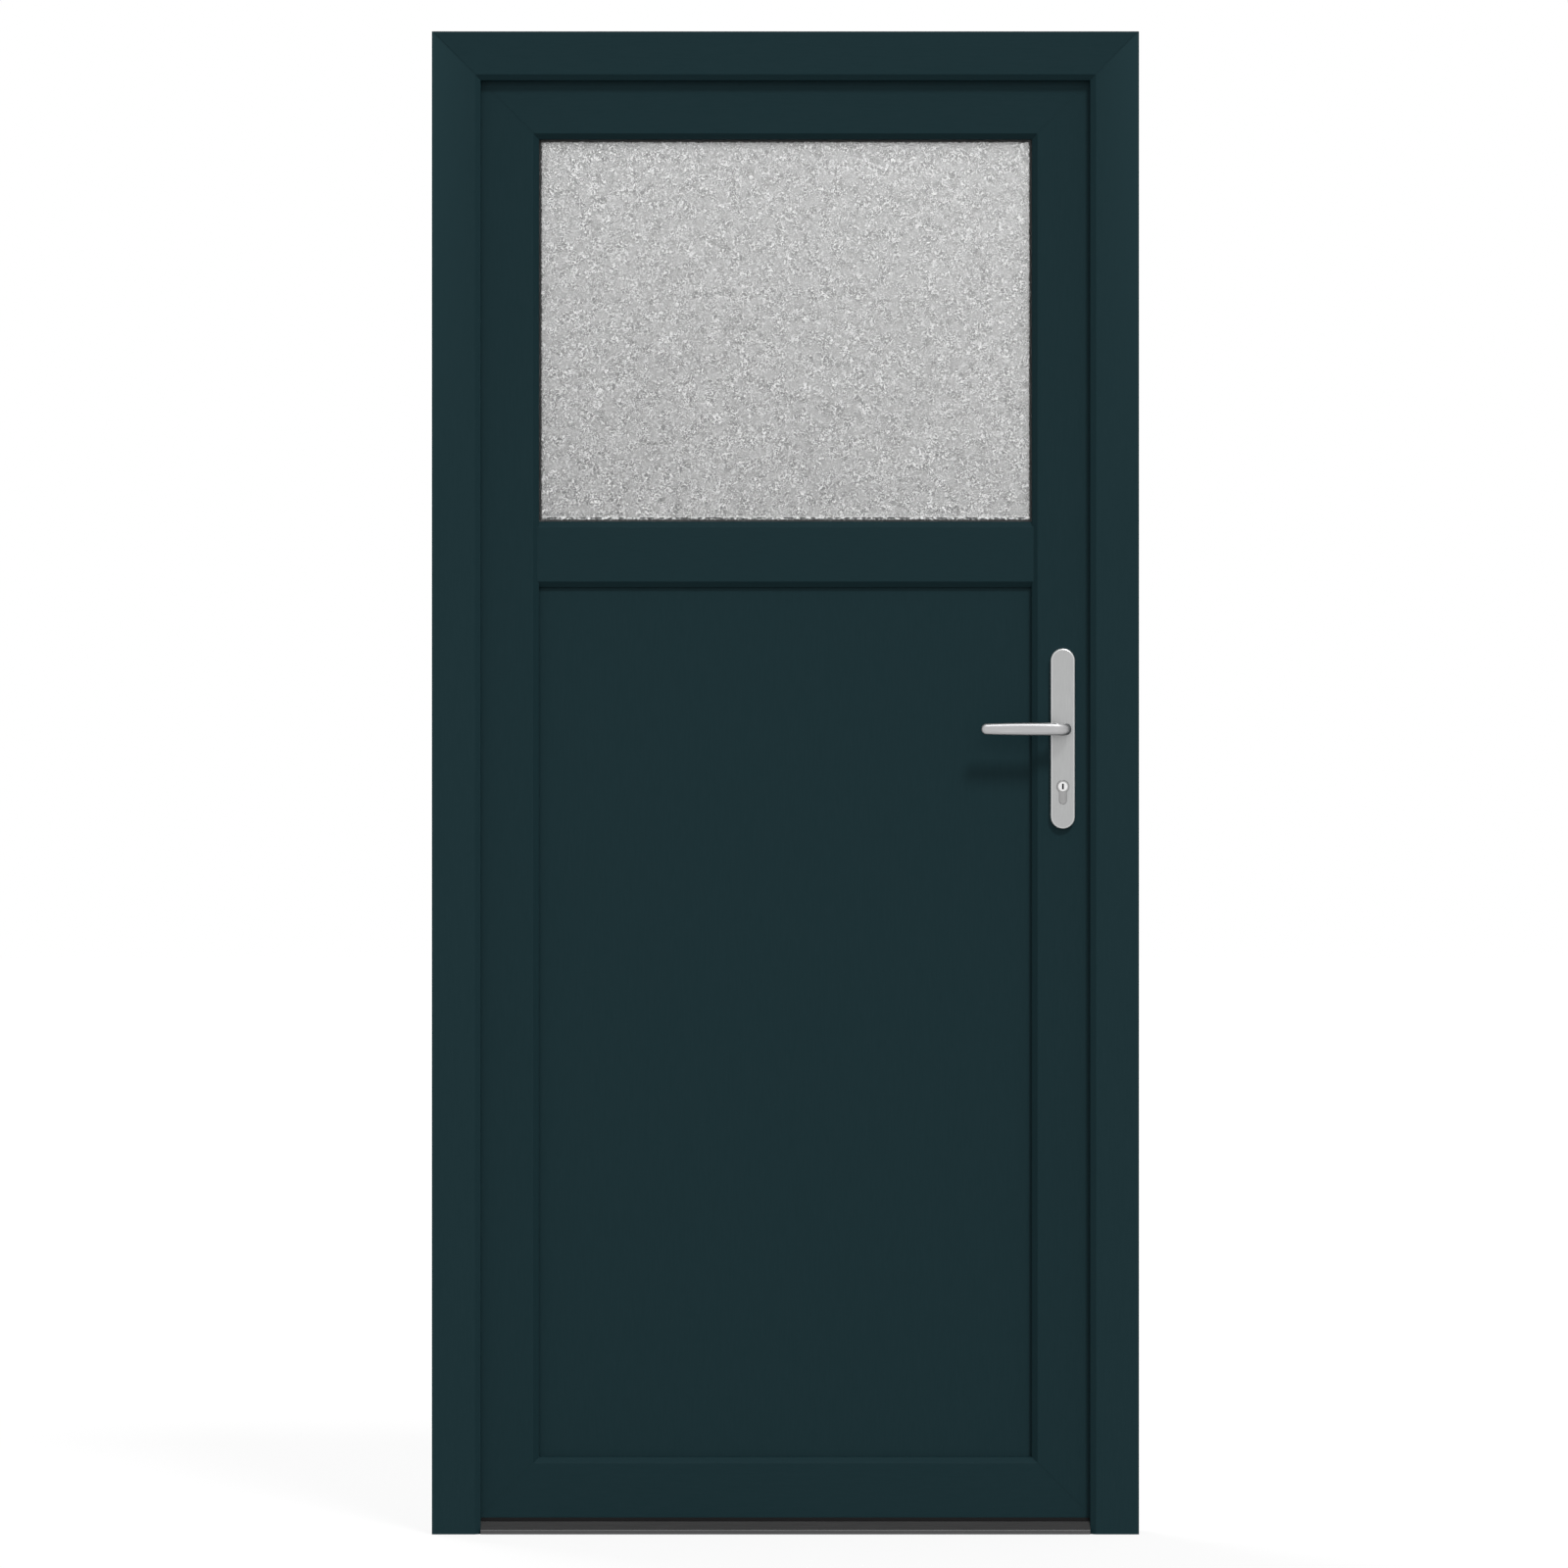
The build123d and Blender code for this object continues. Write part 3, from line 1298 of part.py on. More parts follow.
def lever(face, out):
    """Lever on one side: a round neck that bends and flattens into a grip, which swells to its middle."""
    tip_x = lock_x - lever_reach + lever_tip_radius
    belly_x = tip_x + lever_belly_share * (lock_x - tip_x)
    grip_stand = lever_stand + lever_thickness / 2
    heel = (2 * lever_heel, lever_heel_height, lever_heel_rounding)
    wrist = (lever_thickness, 2 * lever_belly, lever_wrist_rounding)

    def station(x, stand, angle):
        """Plane across the lever where its middle line has turned by an angle away from the neck."""
        side = Vector(1, 0, 0).rotate(Axis.Z, -out * angle)
        along = Vector(0, -out, 0).rotate(Axis.Z, -out * angle)
        return Plane((x, face - out * stand - half_depth, lever_height), x_dir=side, z_dir=along)

    def ring(plane, thickness, height, rounding, shift=0):
        with BuildSketch(plane) as outline:
            with Locations((shift, 0)):
                RectangleRounded(thickness, height, rounding)
        return outline.sketch

    elbow = []
    for step, share in enumerate(lever_taper_shares):
        angle = right_angle * step / (len(lever_taper_shares) - 1)
        sizes = [start + share * (end - start) for start, end in zip(heel, wrist)]
        elbow.append(ring(station(lock_x - lever_bend, grip_stand - lever_bend, angle), *sizes, lever_bend))
    belly = ring(station(belly_x, grip_stand, right_angle), lever_thickness, 2 * lever_belly, lever_edge)
    tip = ring(station(tip_x, grip_stand, right_angle), lever_thickness, 2 * lever_tip_radius, lever_edge)
    with BuildSketch(station(lock_x, lever_root, 0)) as root:
        Circle(neck_radius)
    with BuildPart() as handle:
        with BuildSketch(station(lock_x, neck_gap, 0)):
            Circle(neck_radius)
        extrude(amount=lever_root - neck_gap)
        loft([root.sketch, elbow[0]])
        loft(elbow)
        loft([elbow[-1], belly, tip])
        with BuildSketch(station(tip_x, grip_stand, right_angle)):
            RectangleRounded(lever_thickness, 2 * lever_tip_radius, lever_edge)
            with Locations((0, -lever_tip_radius)):
                Rectangle(lever_thickness, 2 * lever_tip_radius, mode=Mode.SUBTRACT)
        revolve(axis=Axis((tip_x, 0, lever_height), (0, -out, 0)), revolution_arc=2 * right_angle)
        with BuildSketch(station(lock_x, neck_gap, 0)):
            Rectangle(spindle_side + 2 * spindle_fit, spindle_side + 2 * spindle_fit)
        extrude(amount=spindle_grip, mode=Mode.SUBTRACT)
    return handle.part


save(lever(sash_front, 1), "lever_outer")
save(lever(sash_back, -1), "lever_inner")

# Square spindle through the follower, its ends in both lever necks.
with BuildPart() as spindle:
    with BuildSketch(depth_plane(sash_front - spindle_grip)):
        with Locations((lock_x, lever_height)):
            Rectangle(spindle_side, spindle_side)
    extrude(amount=-sash_depth - 2 * spindle_grip)
save(spindle.part, "spindle")
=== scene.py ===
import math
import bmesh
import bpy
from mathutils import Matrix, Vector


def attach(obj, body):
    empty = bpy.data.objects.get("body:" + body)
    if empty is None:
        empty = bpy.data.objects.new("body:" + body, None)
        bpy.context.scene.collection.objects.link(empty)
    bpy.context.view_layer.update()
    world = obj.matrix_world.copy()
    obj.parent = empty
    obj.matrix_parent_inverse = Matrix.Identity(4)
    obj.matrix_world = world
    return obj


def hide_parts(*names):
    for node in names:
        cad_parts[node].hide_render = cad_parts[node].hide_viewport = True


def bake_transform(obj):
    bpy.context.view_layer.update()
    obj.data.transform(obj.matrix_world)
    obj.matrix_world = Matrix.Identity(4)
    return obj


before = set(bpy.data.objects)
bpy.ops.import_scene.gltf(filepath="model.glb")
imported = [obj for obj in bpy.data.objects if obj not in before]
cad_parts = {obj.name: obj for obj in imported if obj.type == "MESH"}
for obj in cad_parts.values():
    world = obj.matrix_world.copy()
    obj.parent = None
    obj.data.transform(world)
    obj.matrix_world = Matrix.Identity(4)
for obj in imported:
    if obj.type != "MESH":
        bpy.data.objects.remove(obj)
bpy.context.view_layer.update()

# Studio: a white room round a pale floor. A soft lamp hangs high on the right in front of the door and one
# behind it for the room side, each with a weak wide fill. The camera stands level, 12 m in front of the door.
scene = bpy.context.scene
scene.view_settings.view_transform = "Standard"


def add_node(tree, kind, **settings):
    """Add one node to a tree and set its properties."""
    node = tree.nodes.new(kind)
    for name, value in settings.items():
        setattr(node, name, value)
    return node


def backdrop_share(tree):
    """Value that is 1 where the camera, a reflection or the glass looks at the background."""
    path = add_node(tree, "ShaderNodeLightPath")
    mirrored = add_node(tree, "ShaderNodeMath", operation="MAXIMUM")
    tree.links.new(path.outputs["Is Camera Ray"], mirrored.inputs[0])
    tree.links.new(path.outputs["Is Glossy Ray"], mirrored.inputs[1])
    seen = add_node(tree, "ShaderNodeMath", operation="MAXIMUM")
    tree.links.new(mirrored.outputs[0], seen.inputs[0])
    tree.links.new(path.outputs["Is Transmission Ray"], seen.inputs[1])
    return seen.outputs[0]


room_light = 0.45
world = bpy.data.worlds.new("white_room")
world.use_nodes = True
tree = world.node_tree
tree.nodes.clear()
lit = add_node(tree, "ShaderNodeBackground")
lit.inputs["Strength"].default_value = room_light
white = add_node(tree, "ShaderNodeBackground")
white.inputs["Color"].default_value = (1, 1, 1, 1)
lit.inputs["Color"].default_value = (1, 1, 1, 1)
mix = add_node(tree, "ShaderNodeMixShader")
out = add_node(tree, "ShaderNodeOutputWorld")
tree.links.new(backdrop_share(tree), mix.inputs[0])
tree.links.new(lit.outputs[0], mix.inputs[1])
tree.links.new(white.outputs[0], mix.inputs[2])
tree.links.new(mix.outputs[0], out.inputs["Surface"])
scene.world = world

floor_reach = 40.0
floor_white = (0.92, 0.92, 0.92, 1)
floor_bounce = (0.32, 0.32, 0.32, 1)
floor_glow_share = 0.85
bpy.ops.mesh.primitive_plane_add(size=2 * floor_reach, location=(0, 0, 0))
floor = bpy.context.active_object
floor.name = "floor"
paint = bpy.data.materials.new("floor_paint")
paint.use_nodes = True
tree = paint.node_tree
tree.nodes.clear()
matt = add_node(tree, "ShaderNodeBsdfDiffuse")
matt.inputs["Color"].default_value = floor_white
glow = add_node(tree, "ShaderNodeEmission")
glow.inputs["Strength"].default_value = 1.0
bright = add_node(tree, "ShaderNodeMixShader")
bright.inputs[0].default_value = floor_glow_share
tree.links.new(matt.outputs[0], bright.inputs[1])
tree.links.new(glow.outputs[0], bright.inputs[2])
dull = add_node(tree, "ShaderNodeBsdfDiffuse")
dull.inputs["Color"].default_value = floor_bounce
mix = add_node(tree, "ShaderNodeMixShader")
out = add_node(tree, "ShaderNodeOutputMaterial")
tree.links.new(backdrop_share(tree), mix.inputs[0])
tree.links.new(dull.outputs[0], mix.inputs[1])
tree.links.new(bright.outputs[0], mix.inputs[2])
tree.links.new(mix.outputs[0], out.inputs["Surface"])
floor.data.materials.append(paint)


def hang_sun(name, strength, spread, towards, mirrored):
    """A far soft lamp that shines from a direction given as seen from the door, and may show in metal."""
    lamp = bpy.data.lights.new(name, "SUN")
    lamp.energy = strength
    lamp.angle = math.radians(spread)
    hung = bpy.data.objects.new(name, lamp)
    hung.rotation_euler = Vector(towards).to_track_quat("Z", "Y").to_euler()
    hung.visible_glossy = mirrored
    scene.collection.objects.link(hung)


lamp_strength, fill_strength = 1.75, 0.95
hang_sun("key_lamp", lamp_strength, spread=12, towards=(0.37, -1.0, 1.05), mirrored=True)
hang_sun("front_fill", fill_strength, spread=50, towards=(0.05, -1.0, 0.1), mirrored=False)
hang_sun("rear_lamp", lamp_strength, spread=20, towards=(-0.5, 1.0, 0.75), mirrored=True)
hang_sun("rear_fill", fill_strength, spread=50, towards=(0.1, 1.0, 0.1), mirrored=False)

camera_distance = 12.205
camera_height = 1.0485
camera_side = -0.002
lens = bpy.data.cameras.new("camera")
lens.lens = 200
lens.sensor_width = 36
lens.clip_end = 200
camera = bpy.data.objects.new("camera", lens)
camera.location = (camera_side, -camera_distance, camera_height)
camera.rotation_euler = (math.radians(90), 0, 0)
scene.collection.objects.link(camera)
scene.camera = camera

# Frame: two jambs and a head of extruded hollow plastic under a satin anthracite-green foil,
# welded at mitred corners. The foil's fine grain runs along each profile. The jambs carry a painted sheen:
# their foil is painted a little lighter than the head's, and lighter still towards the top corners and outer
# edges, so that the mitres show.


def start_finish(name):
    """A new node material, its tree and its shader."""
    finish = bpy.data.materials.new(name)
    finish.use_nodes = True
    return finish, finish.node_tree, finish.node_tree.nodes["Principled BSDF"]


def object_place(tree, stretch):
    """Object coordinates, stretched in each direction to the size of a pattern."""
    place = add_node(tree, "ShaderNodeTexCoord")
    mapping = add_node(tree, "ShaderNodeMapping")
    mapping.inputs["Scale"].default_value = stretch
    tree.links.new(place.outputs["Object"], mapping.inputs["Vector"])
    return mapping.outputs["Vector"]


def object_axes(tree):
    """Object coordinates as separate values, by the names X, Y and Z."""
    place = add_node(tree, "ShaderNodeTexCoord")
    split = add_node(tree, "ShaderNodeSeparateXYZ")
    tree.links.new(place.outputs["Object"], split.inputs["Vector"])
    return split.outputs


def dress(finish, *names):
    """Give the named solids one finish."""
    for name in names:
        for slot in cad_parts[name].material_slots:
            slot.material = finish


def make_grain_group():
    """Shared effect: streaks and fine pores of one finish, as a colour, a roughness and a height."""
    group = bpy.data.node_groups.new("surface_grain", "ShaderNodeTree")
    sockets = group.interface
    sockets.new_socket("Place", in_out="INPUT", socket_type="NodeSocketVector")
    sockets.new_socket("Dark Colour", in_out="INPUT", socket_type="NodeSocketColor")
    sockets.new_socket("Light Colour", in_out="INPUT", socket_type="NodeSocketColor")
    sockets.new_socket("Smooth Roughness", in_out="INPUT", socket_type="NodeSocketFloat")
    sockets.new_socket("Rough Roughness", in_out="INPUT", socket_type="NodeSocketFloat")
    sockets.new_socket("Colour", in_out="OUTPUT", socket_type="NodeSocketColor")
    sockets.new_socket("Roughness", in_out="OUTPUT", socket_type="NodeSocketFloat")
    sockets.new_socket("Height", in_out="OUTPUT", socket_type="NodeSocketFloat")
    given = add_node(group, "NodeGroupInput")
    result = add_node(group, "NodeGroupOutput")
    streaks = add_node(group, "ShaderNodeTexNoise")
    streaks.inputs["Scale"].default_value = 1.0
    streaks.inputs["Detail"].default_value = 4.0
    streaks.inputs["Roughness"].default_value = 0.6
    group.links.new(given.outputs["Place"], streaks.inputs["Vector"])
    pores = add_node(group, "ShaderNodeTexNoise")
    pores.inputs["Scale"].default_value = 5.3
    pores.inputs["Detail"].default_value = 2.0
    group.links.new(given.outputs["Place"], pores.inputs["Vector"])
    level = add_node(group, "ShaderNodeMapRange")
    level.inputs["From Min"].default_value = 0.3
    level.inputs["From Max"].default_value = 0.7
    group.links.new(streaks.outputs["Fac"], level.inputs["Value"])
    tint = add_node(group, "ShaderNodeMix", data_type="RGBA")
    group.links.new(level.outputs["Result"], tint.inputs["Factor"])
    group.links.new(given.outputs["Dark Colour"], tint.inputs["A"])
    group.links.new(given.outputs["Light Colour"], tint.inputs["B"])
    group.links.new(tint.outputs["Result"], result.inputs["Colour"])
    gloss = add_node(group, "ShaderNodeMix", data_type="FLOAT")
    group.links.new(pores.outputs["Fac"], gloss.inputs["Factor"])
    group.links.new(given.outputs["Smooth Roughness"], gloss.inputs["A"])
    group.links.new(given.outputs["Rough Roughness"], gloss.inputs["B"])
    group.links.new(gloss.outputs["Result"], result.inputs["Roughness"])
    height = add_node(group, "ShaderNodeMath", operation="MULTIPLY_ADD")
    height.inputs[1].default_value = 0.5
    group.links.new(pores.outputs["Fac"], height.inputs[0])
    group.links.new(streaks.outputs["Fac"], height.inputs[2])
    group.links.new(height.outputs[0], result.inputs["Height"])
    return group


surface_grain = make_grain_group()


def grained_finish(name, dark, light, roughness, stretch, relief, metallic=0.0, specular=0.5):
    """A finish whose colour, gloss and relief come from the shared grain."""
    finish, tree, shader = start_finish(name)
    grain = add_node(tree, "ShaderNodeGroup", node_tree=surface_grain)
    tree.links.new(object_place(tree, stretch), grain.inputs["Place"])
    grain.inputs["Dark Colour"].default_value = (*dark, 1)
    grain.inputs["Light Colour"].default_value = (*light, 1)
    grain.inputs["Smooth Roughness"].default_value = roughness[0]
    grain.inputs["Rough Roughness"].default_value = roughness[1]
    bump = add_node(tree, "ShaderNodeBump")
    bump.inputs["Strength"].default_value = 0.6
    bump.inputs["Distance"].default_value = relief
    tree.links.new(grain.outputs["Height"], bump.inputs["Height"])
    tree.links.new(grain.outputs["Colour"], shader.inputs["Base Color"])
    tree.links.new(grain.outputs["Roughness"], shader.inputs["Roughness"])
    tree.links.new(bump.outputs["Normal"], shader.inputs["Normal"])
    shader.inputs["Metallic"].default_value = metallic
    shader.inputs["Specular IOR Level"].default_value = specular
    return finish


def reckon(tree, operation, first, second):
    """One sum on two values, each a number or the output of a node."""
    node = add_node(tree, "ShaderNodeMath", operation=operation)
    for place, value in enumerate((first, second)):
        if isinstance(value, (int, float)):
            node.inputs[place].default_value = value
        else:
            tree.links.new(value, node.inputs[place])
    return node.outputs[0]


def ramp(tree, value, low, high, start, end):
    """A value that runs from start to end while another goes from low to high."""
    node = add_node(tree, "ShaderNodeMapRange")
    for name, limit in (("From Min", low), ("From Max", high), ("To Min", start), ("To Max", end)):
        node.inputs[name].default_value = limit
    tree.links.new(value, node.inputs["Value"])
    return node.outputs["Result"]


def blend_colour(tree, share, first, second):
    """Mix of two colours, each given or the output of a node."""
    node = add_node(tree, "ShaderNodeMix", data_type="RGBA")
    tree.links.new(share, node.inputs["Factor"])
    for socket, colour in (("A", first), ("B", second)):
        if isinstance(colour, tuple):
            node.inputs[socket].default_value = (*colour, 1)
        else:
            tree.links.new(colour, node.inputs[socket])
    return node.outputs["Result"]


def tint_over(finish, share, colour):
    """Lay a colour over the one that a finish has, by a share."""
    tree = finish.node_tree
    base = tree.nodes["Principled BSDF"].inputs["Base Color"]
    under = base.links[0].from_socket
    tree.links.new(blend_colour(tree, share, under, colour), base)


def foil_finish(name, dark, light, stretch):
    """The satin foil, with its grain stretched along a profile."""
    return grained_finish(
        name, dark, light, roughness=(0.42, 0.55), stretch=stretch, relief=0.00006, specular=0.06
    )


grains_across, grains_along = 700.0, 45.0
grain_upright = (grains_across, grains_across, grains_along)
grain_level = (grains_along, grains_across, grains_across)
# painted sheen: the jamb foil is painted a little lighter than the head's
jamb_dark_sheened, jamb_light_sheened = (0.0083, 0.0252, 0.0297), (0.0101, 0.0279, 0.0330)
jamb_foil_and_sheen = foil_finish("jamb_foil_and_sheen", jamb_dark_sheened, jamb_light_sheened, grain_upright)
head_dark, head_light = (0.0074, 0.0236, 0.0280), (0.0092, 0.0262, 0.0311)
head_foil = foil_finish("head_foil", head_dark, head_light, grain_level)
# painted sheen: the jamb foil is painted lighter towards the top corners and its outer edges
jamb_sheen_colour = (0.0121, 0.0330, 0.0388)
sheen_from, sheen_to = 1.45, 2.05
sheen_inside, sheen_outside = 0.44, 0.492
sheen_inside_share = 0.1
tree = jamb_foil_and_sheen.node_tree
axes = object_axes(tree)
aside = reckon(tree, "ABSOLUTE", axes["X"], 0)
sheen_up = ramp(tree, axes["Z"], sheen_from, sheen_to, 0.0, 1.0)
sheen_out = ramp(tree, aside, sheen_inside, sheen_outside, sheen_inside_share, 1.0)
tint_over(jamb_foil_and_sheen, reckon(tree, "MULTIPLY", sheen_up, sheen_out), jamb_sheen_colour)
dress(jamb_foil_and_sheen, "frame_hinge_jamb", "frame_lock_jamb")
dress(head_foil, "frame_head")

# Frame steels: galvanised box sections, pushed into the hollow jambs and head and screwed there.
# The zinc has crystallised into a pattern of flat grey spangles.


def spangle_finish(name, dark, light, size):
    """Galvanised sheet, whose zinc crystals differ in shade and gloss."""
    finish, tree, shader = start_finish(name)
    spangles = add_node(tree, "ShaderNodeTexVoronoi", feature="F1")
    spangles.inputs["Scale"].default_value = 1.0
    tree.links.new(object_place(tree, (1 / size, 1 / size, 1 / size)), spangles.inputs["Vector"])
    shade = add_node(tree, "ShaderNodeSeparateColor")
    tree.links.new(spangles.outputs["Color"], shade.inputs["Color"])
    tint = add_node(tree, "ShaderNodeMix", data_type="RGBA")
    tint.inputs["A"].default_value = (*dark, 1)
    tint.inputs["B"].default_value = (*light, 1)
    tree.links.new(shade.outputs["Red"], tint.inputs["Factor"])
    tree.links.new(tint.outputs["Result"], shader.inputs["Base Color"])
    gloss = add_node(tree, "ShaderNodeMapRange")
    gloss.inputs["To Min"].default_value = 0.3
    gloss.inputs["To Max"].default_value = 0.5
    tree.links.new(shade.outputs["Green"], gloss.inputs["Value"])
    tree.links.new(gloss.outputs["Result"], shader.inputs["Roughness"])
    shader.inputs["Metallic"].default_value = 1.0
    return finish


zinc_dark, zinc_light = (0.36, 0.37, 0.39), (0.52, 0.53, 0.55)
galvanised = spangle_finish("galvanised_steel", zinc_dark, zinc_light, size=0.006)
dress(galvanised, "jamb_steels", "head_steel")

# Threshold: a low anodised aluminium rail on the floor, with a grooved dark plastic core clipped on it
# that slopes up to the seal. Both are cut to length between the jambs.
anodised_rail = grained_finish(
    "anodised_rail", dark=(0.058, 0.059, 0.060), light=(0.076, 0.077, 0.078), roughness=(0.35, 0.5),
    stretch=(18, 900, 900), relief=0.00002, metallic=0.6,
)
dress(anodised_rail, "threshold_rail")
ribbed_core = grained_finish(
    "ribbed_core", dark=(0.027, 0.0272, 0.0275), light=(0.035, 0.0352, 0.0355), roughness=(0.45, 0.6),
    stretch=(22, 600, 600), relief=0.00004, specular=0.1,
)
dress(ribbed_core, "threshold_core")

# Seals: extruded black rubber lips, pressed into grooves of the frame and the threshold.
# The closed leaf bends them, and they keep out wind and rain.
rubber = grained_finish(
    "seal_rubber", dark=(0.0045, 0.0045, 0.005), light=(0.0075, 0.0075, 0.008), roughness=(0.65, 0.8),
    stretch=(400, 400, 400), relief=0.00003, specular=0.15,
)
dress(rubber, "frame_seal", "threshold_seal")

# Keep: a pressed plate of nickel-plated steel with mouths for the latch and the dead bolt.
# Three countersunk screws with a cross recess hold it on the lock jamb.
plated_steel = grained_finish(
    "plated_steel", dark=(0.50, 0.50, 0.49), light=(0.60, 0.60, 0.59), roughness=(0.24, 0.36),
    stretch=(90, 90, 500), relief=0.000015, metallic=1.0,
)
dress(plated_steel, "lock_keep")


def only(kind, items):
    """The vertices, edges or faces among the items that an operator gives."""
    return [item for item in items if isinstance(item, kind)]


def draw_out(bm, edges, move, grow):
    """Pull an open loop of edges on along Z and scale it there; gives the new loop."""
    new = bmesh.ops.extrude_edge_only(bm, edges=edges)["geom"]
    verts = only(bmesh.types.BMVert, new)
    bmesh.ops.translate(bm, vec=(0, 0, move), verts=verts)
    bmesh.ops.scale(bm, vec=(grow, grow, 1), verts=verts)
    return only(bmesh.types.BMEdge, new)


sharp_angle = math.radians(35)


def add_piece(name, bm, finish):
    """Make an object of a mesh, with smooth faces between its sharp edges."""
    bmesh.ops.recalc_face_normals(bm, faces=bm.faces)
    for edge in bm.edges:
        edge.smooth = edge.calc_face_angle(0) < sharp_angle
    for face in bm.faces:
        face.smooth = True
    mesh = bpy.data.meshes.new(name)
    bm.to_mesh(mesh)
    bm.free()
    mesh.materials.append(finish)
    piece = bpy.data.objects.new(name, mesh)
    scene.collection.objects.link(piece)
    return piece


screw_sides = 24
arm_angle = 15
recess_reach_share, recess_depth_share, recess_floor_share = 0.58, 0.55, 0.6
first_stop, next_stop = 23, 37


def cross_screws(node, body, spots, outward, head, shank, length):
    """Cross-recessed screws in place of a node's plain ones, each stopped at its own angle."""
    reach = recess_reach_share * head
    half_arm = reach * math.tan(math.radians(arm_angle))
    corner, inside, crotch = math.hypot(reach, half_arm), 2 * half_arm, math.sqrt(2) * half_arm
    rays = {0: reach, arm_angle: corner, 2 * arm_angle: inside, 3 * arm_angle: crotch}
    bm = bmesh.new()
    cross = bmesh.ops.create_circle(bm, segments=screw_sides, radius=1)["verts"]
    for vert in cross:
        angle = round(math.degrees(math.atan2(abs(vert.co.y), abs(vert.co.x))))
        vert.co *= rays[min(angle, 90 - angle)]
    cross_edges = bm.edges[:]
    floor_edges = draw_out(bm, cross_edges, -recess_depth_share * head, recess_floor_share)
    bmesh.ops.contextual_create(bm, geom=floor_edges)
    rim = bmesh.ops.create_circle(bm, segments=screw_sides, radius=head)["verts"]
    rim_edges = list({edge for vert in rim for edge in vert.link_edges})
    bmesh.ops.bridge_loops(bm, edges=cross_edges + rim_edges)
    neck_edges = draw_out(bm, rim_edges, shank - head, shank / head)
    end_edges = draw_out(bm, neck_edges, head - shank - length, 1)
    bmesh.ops.contextual_create(bm, geom=end_edges)
    stand = Vector(outward).to_track_quat("Z", "Y").to_matrix()
    bmesh.ops.rotate(bm, verts=bm.verts, cent=(0, 0, 0), matrix=stand)
    first = bm.verts[:] + bm.edges[:] + bm.faces[:]
    for index, spot in enumerate(spots):
        verts = only(bmesh.types.BMVert, bmesh.ops.duplicate(bm, geom=first)["geom"])
        turn = Matrix.Rotation(math.radians(first_stop + next_stop * index), 3, Vector(outward))
        bmesh.ops.rotate(bm, verts=verts, cent=(0, 0, 0), matrix=turn)
        bmesh.ops.translate(bm, vec=spot, verts=verts)
    bmesh.ops.delete(bm, geom=only(bmesh.types.BMVert, first), context="VERTS")
    screws = add_piece("cross_" + node, bm, plated_steel)
    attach(screws, body)
    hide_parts(node)


lock_depth = 0.011
keep_face = 0.447
keep_spots = [(keep_face, lock_depth, height) for height in (1.055, 1.118, 1.175)]
cross_screws(
    "keep_screws", "frame", keep_spots, outward=(-1, 0, 0), head=0.0034, shank=0.0019, length=0.009
)

# Leaf profiles: two stiles and two rails of the same foiled hollow plastic, mitred and welded at the
# corners, with a transom between the glass and the panel and galvanised steels inside.
leaf_dark, leaf_light = (0.0073, 0.0231, 0.0274), (0.0091, 0.0257, 0.0305)
stile_foil = foil_finish("stile_foil", leaf_dark, leaf_light, grain_upright)
rail_foil = foil_finish("rail_foil", leaf_dark, leaf_light, grain_level)
dress(stile_foil, "sash_hinge_stile", "sash_lock_stile")
dress(rail_foil, "sash_top_rail", "sash_bottom_rail", "sash_transom")
dress(galvanised, "stile_steels", "rail_steels", "transom_steel")

# Lower panel: a flat sandwich of foam between plastic skins with the same foil, glued in a press.
# It stands on packers in the leaf, and beads hold it from the room side.
dress(stile_foil, "lower_panel")

# Double glazing: two panes glued to a metal spacer bar, standing on plastic packers in the leaf.
# The outer pane is rolled glass with a granular frosted face, the inner one is clear float glass.
packer_blue = grained_finish(
    "packer_plastic", dark=(0.13, 0.20, 0.36), light=(0.17, 0.25, 0.42), roughness=(0.45, 0.6),
    stretch=(200, 200, 200), relief=0.00003, specular=0.4,
)
dress(packer_blue, "glazing_packers")
spacer_metal = grained_finish(
    "spacer_metal", dark=(0.50, 0.50, 0.50), light=(0.60, 0.60, 0.60), roughness=(0.3, 0.42),
    stretch=(400, 400, 60), relief=0.00002, metallic=1.0,
)
dress(spacer_metal, "spacer_bar")

pane_half_width = 0.345
pane_low, pane_high = 1.416, 1.951
worm_size, worm_twist = 0.0040, 0.9
worm_core, worm_edge, worm_mean = 0.01, 0.085, 0.33
patch_size = 0.016
frost_dark = (0.09, 0.09, 0.09)
frost_light = (0.70, 0.695, 0.695)
frost_black = (0.012, 0.014, 0.014)
# painted glint: near-white crumbs painted on the glass just above its foot
painted_glint_white = (0.9, 0.9, 0.9)
edge_line, edge_blur, edge_jitter = 0.0048, 0.0012, 0.004
foot_line, foot_blur = 0.0050, 0.0010
glint_line, glint_blur = 0.0075, 0.003
dash_line, dash_core, dash_edge = 0.0050, 0.0008, 0.0018
frost_relief = 0.0006


def speckle(tree, stretch, detail, distortion):
    """Noise in object coordinates, between 0 and 1."""
    noise = add_node(tree, "ShaderNodeTexNoise")
    noise.inputs["Scale"].default_value = 1.0
    noise.inputs["Detail"].default_value = detail
    noise.inputs["Distortion"].default_value = distortion
    tree.links.new(object_place(tree, stretch), noise.inputs["Vector"])
    return noise.outputs["Fac"]


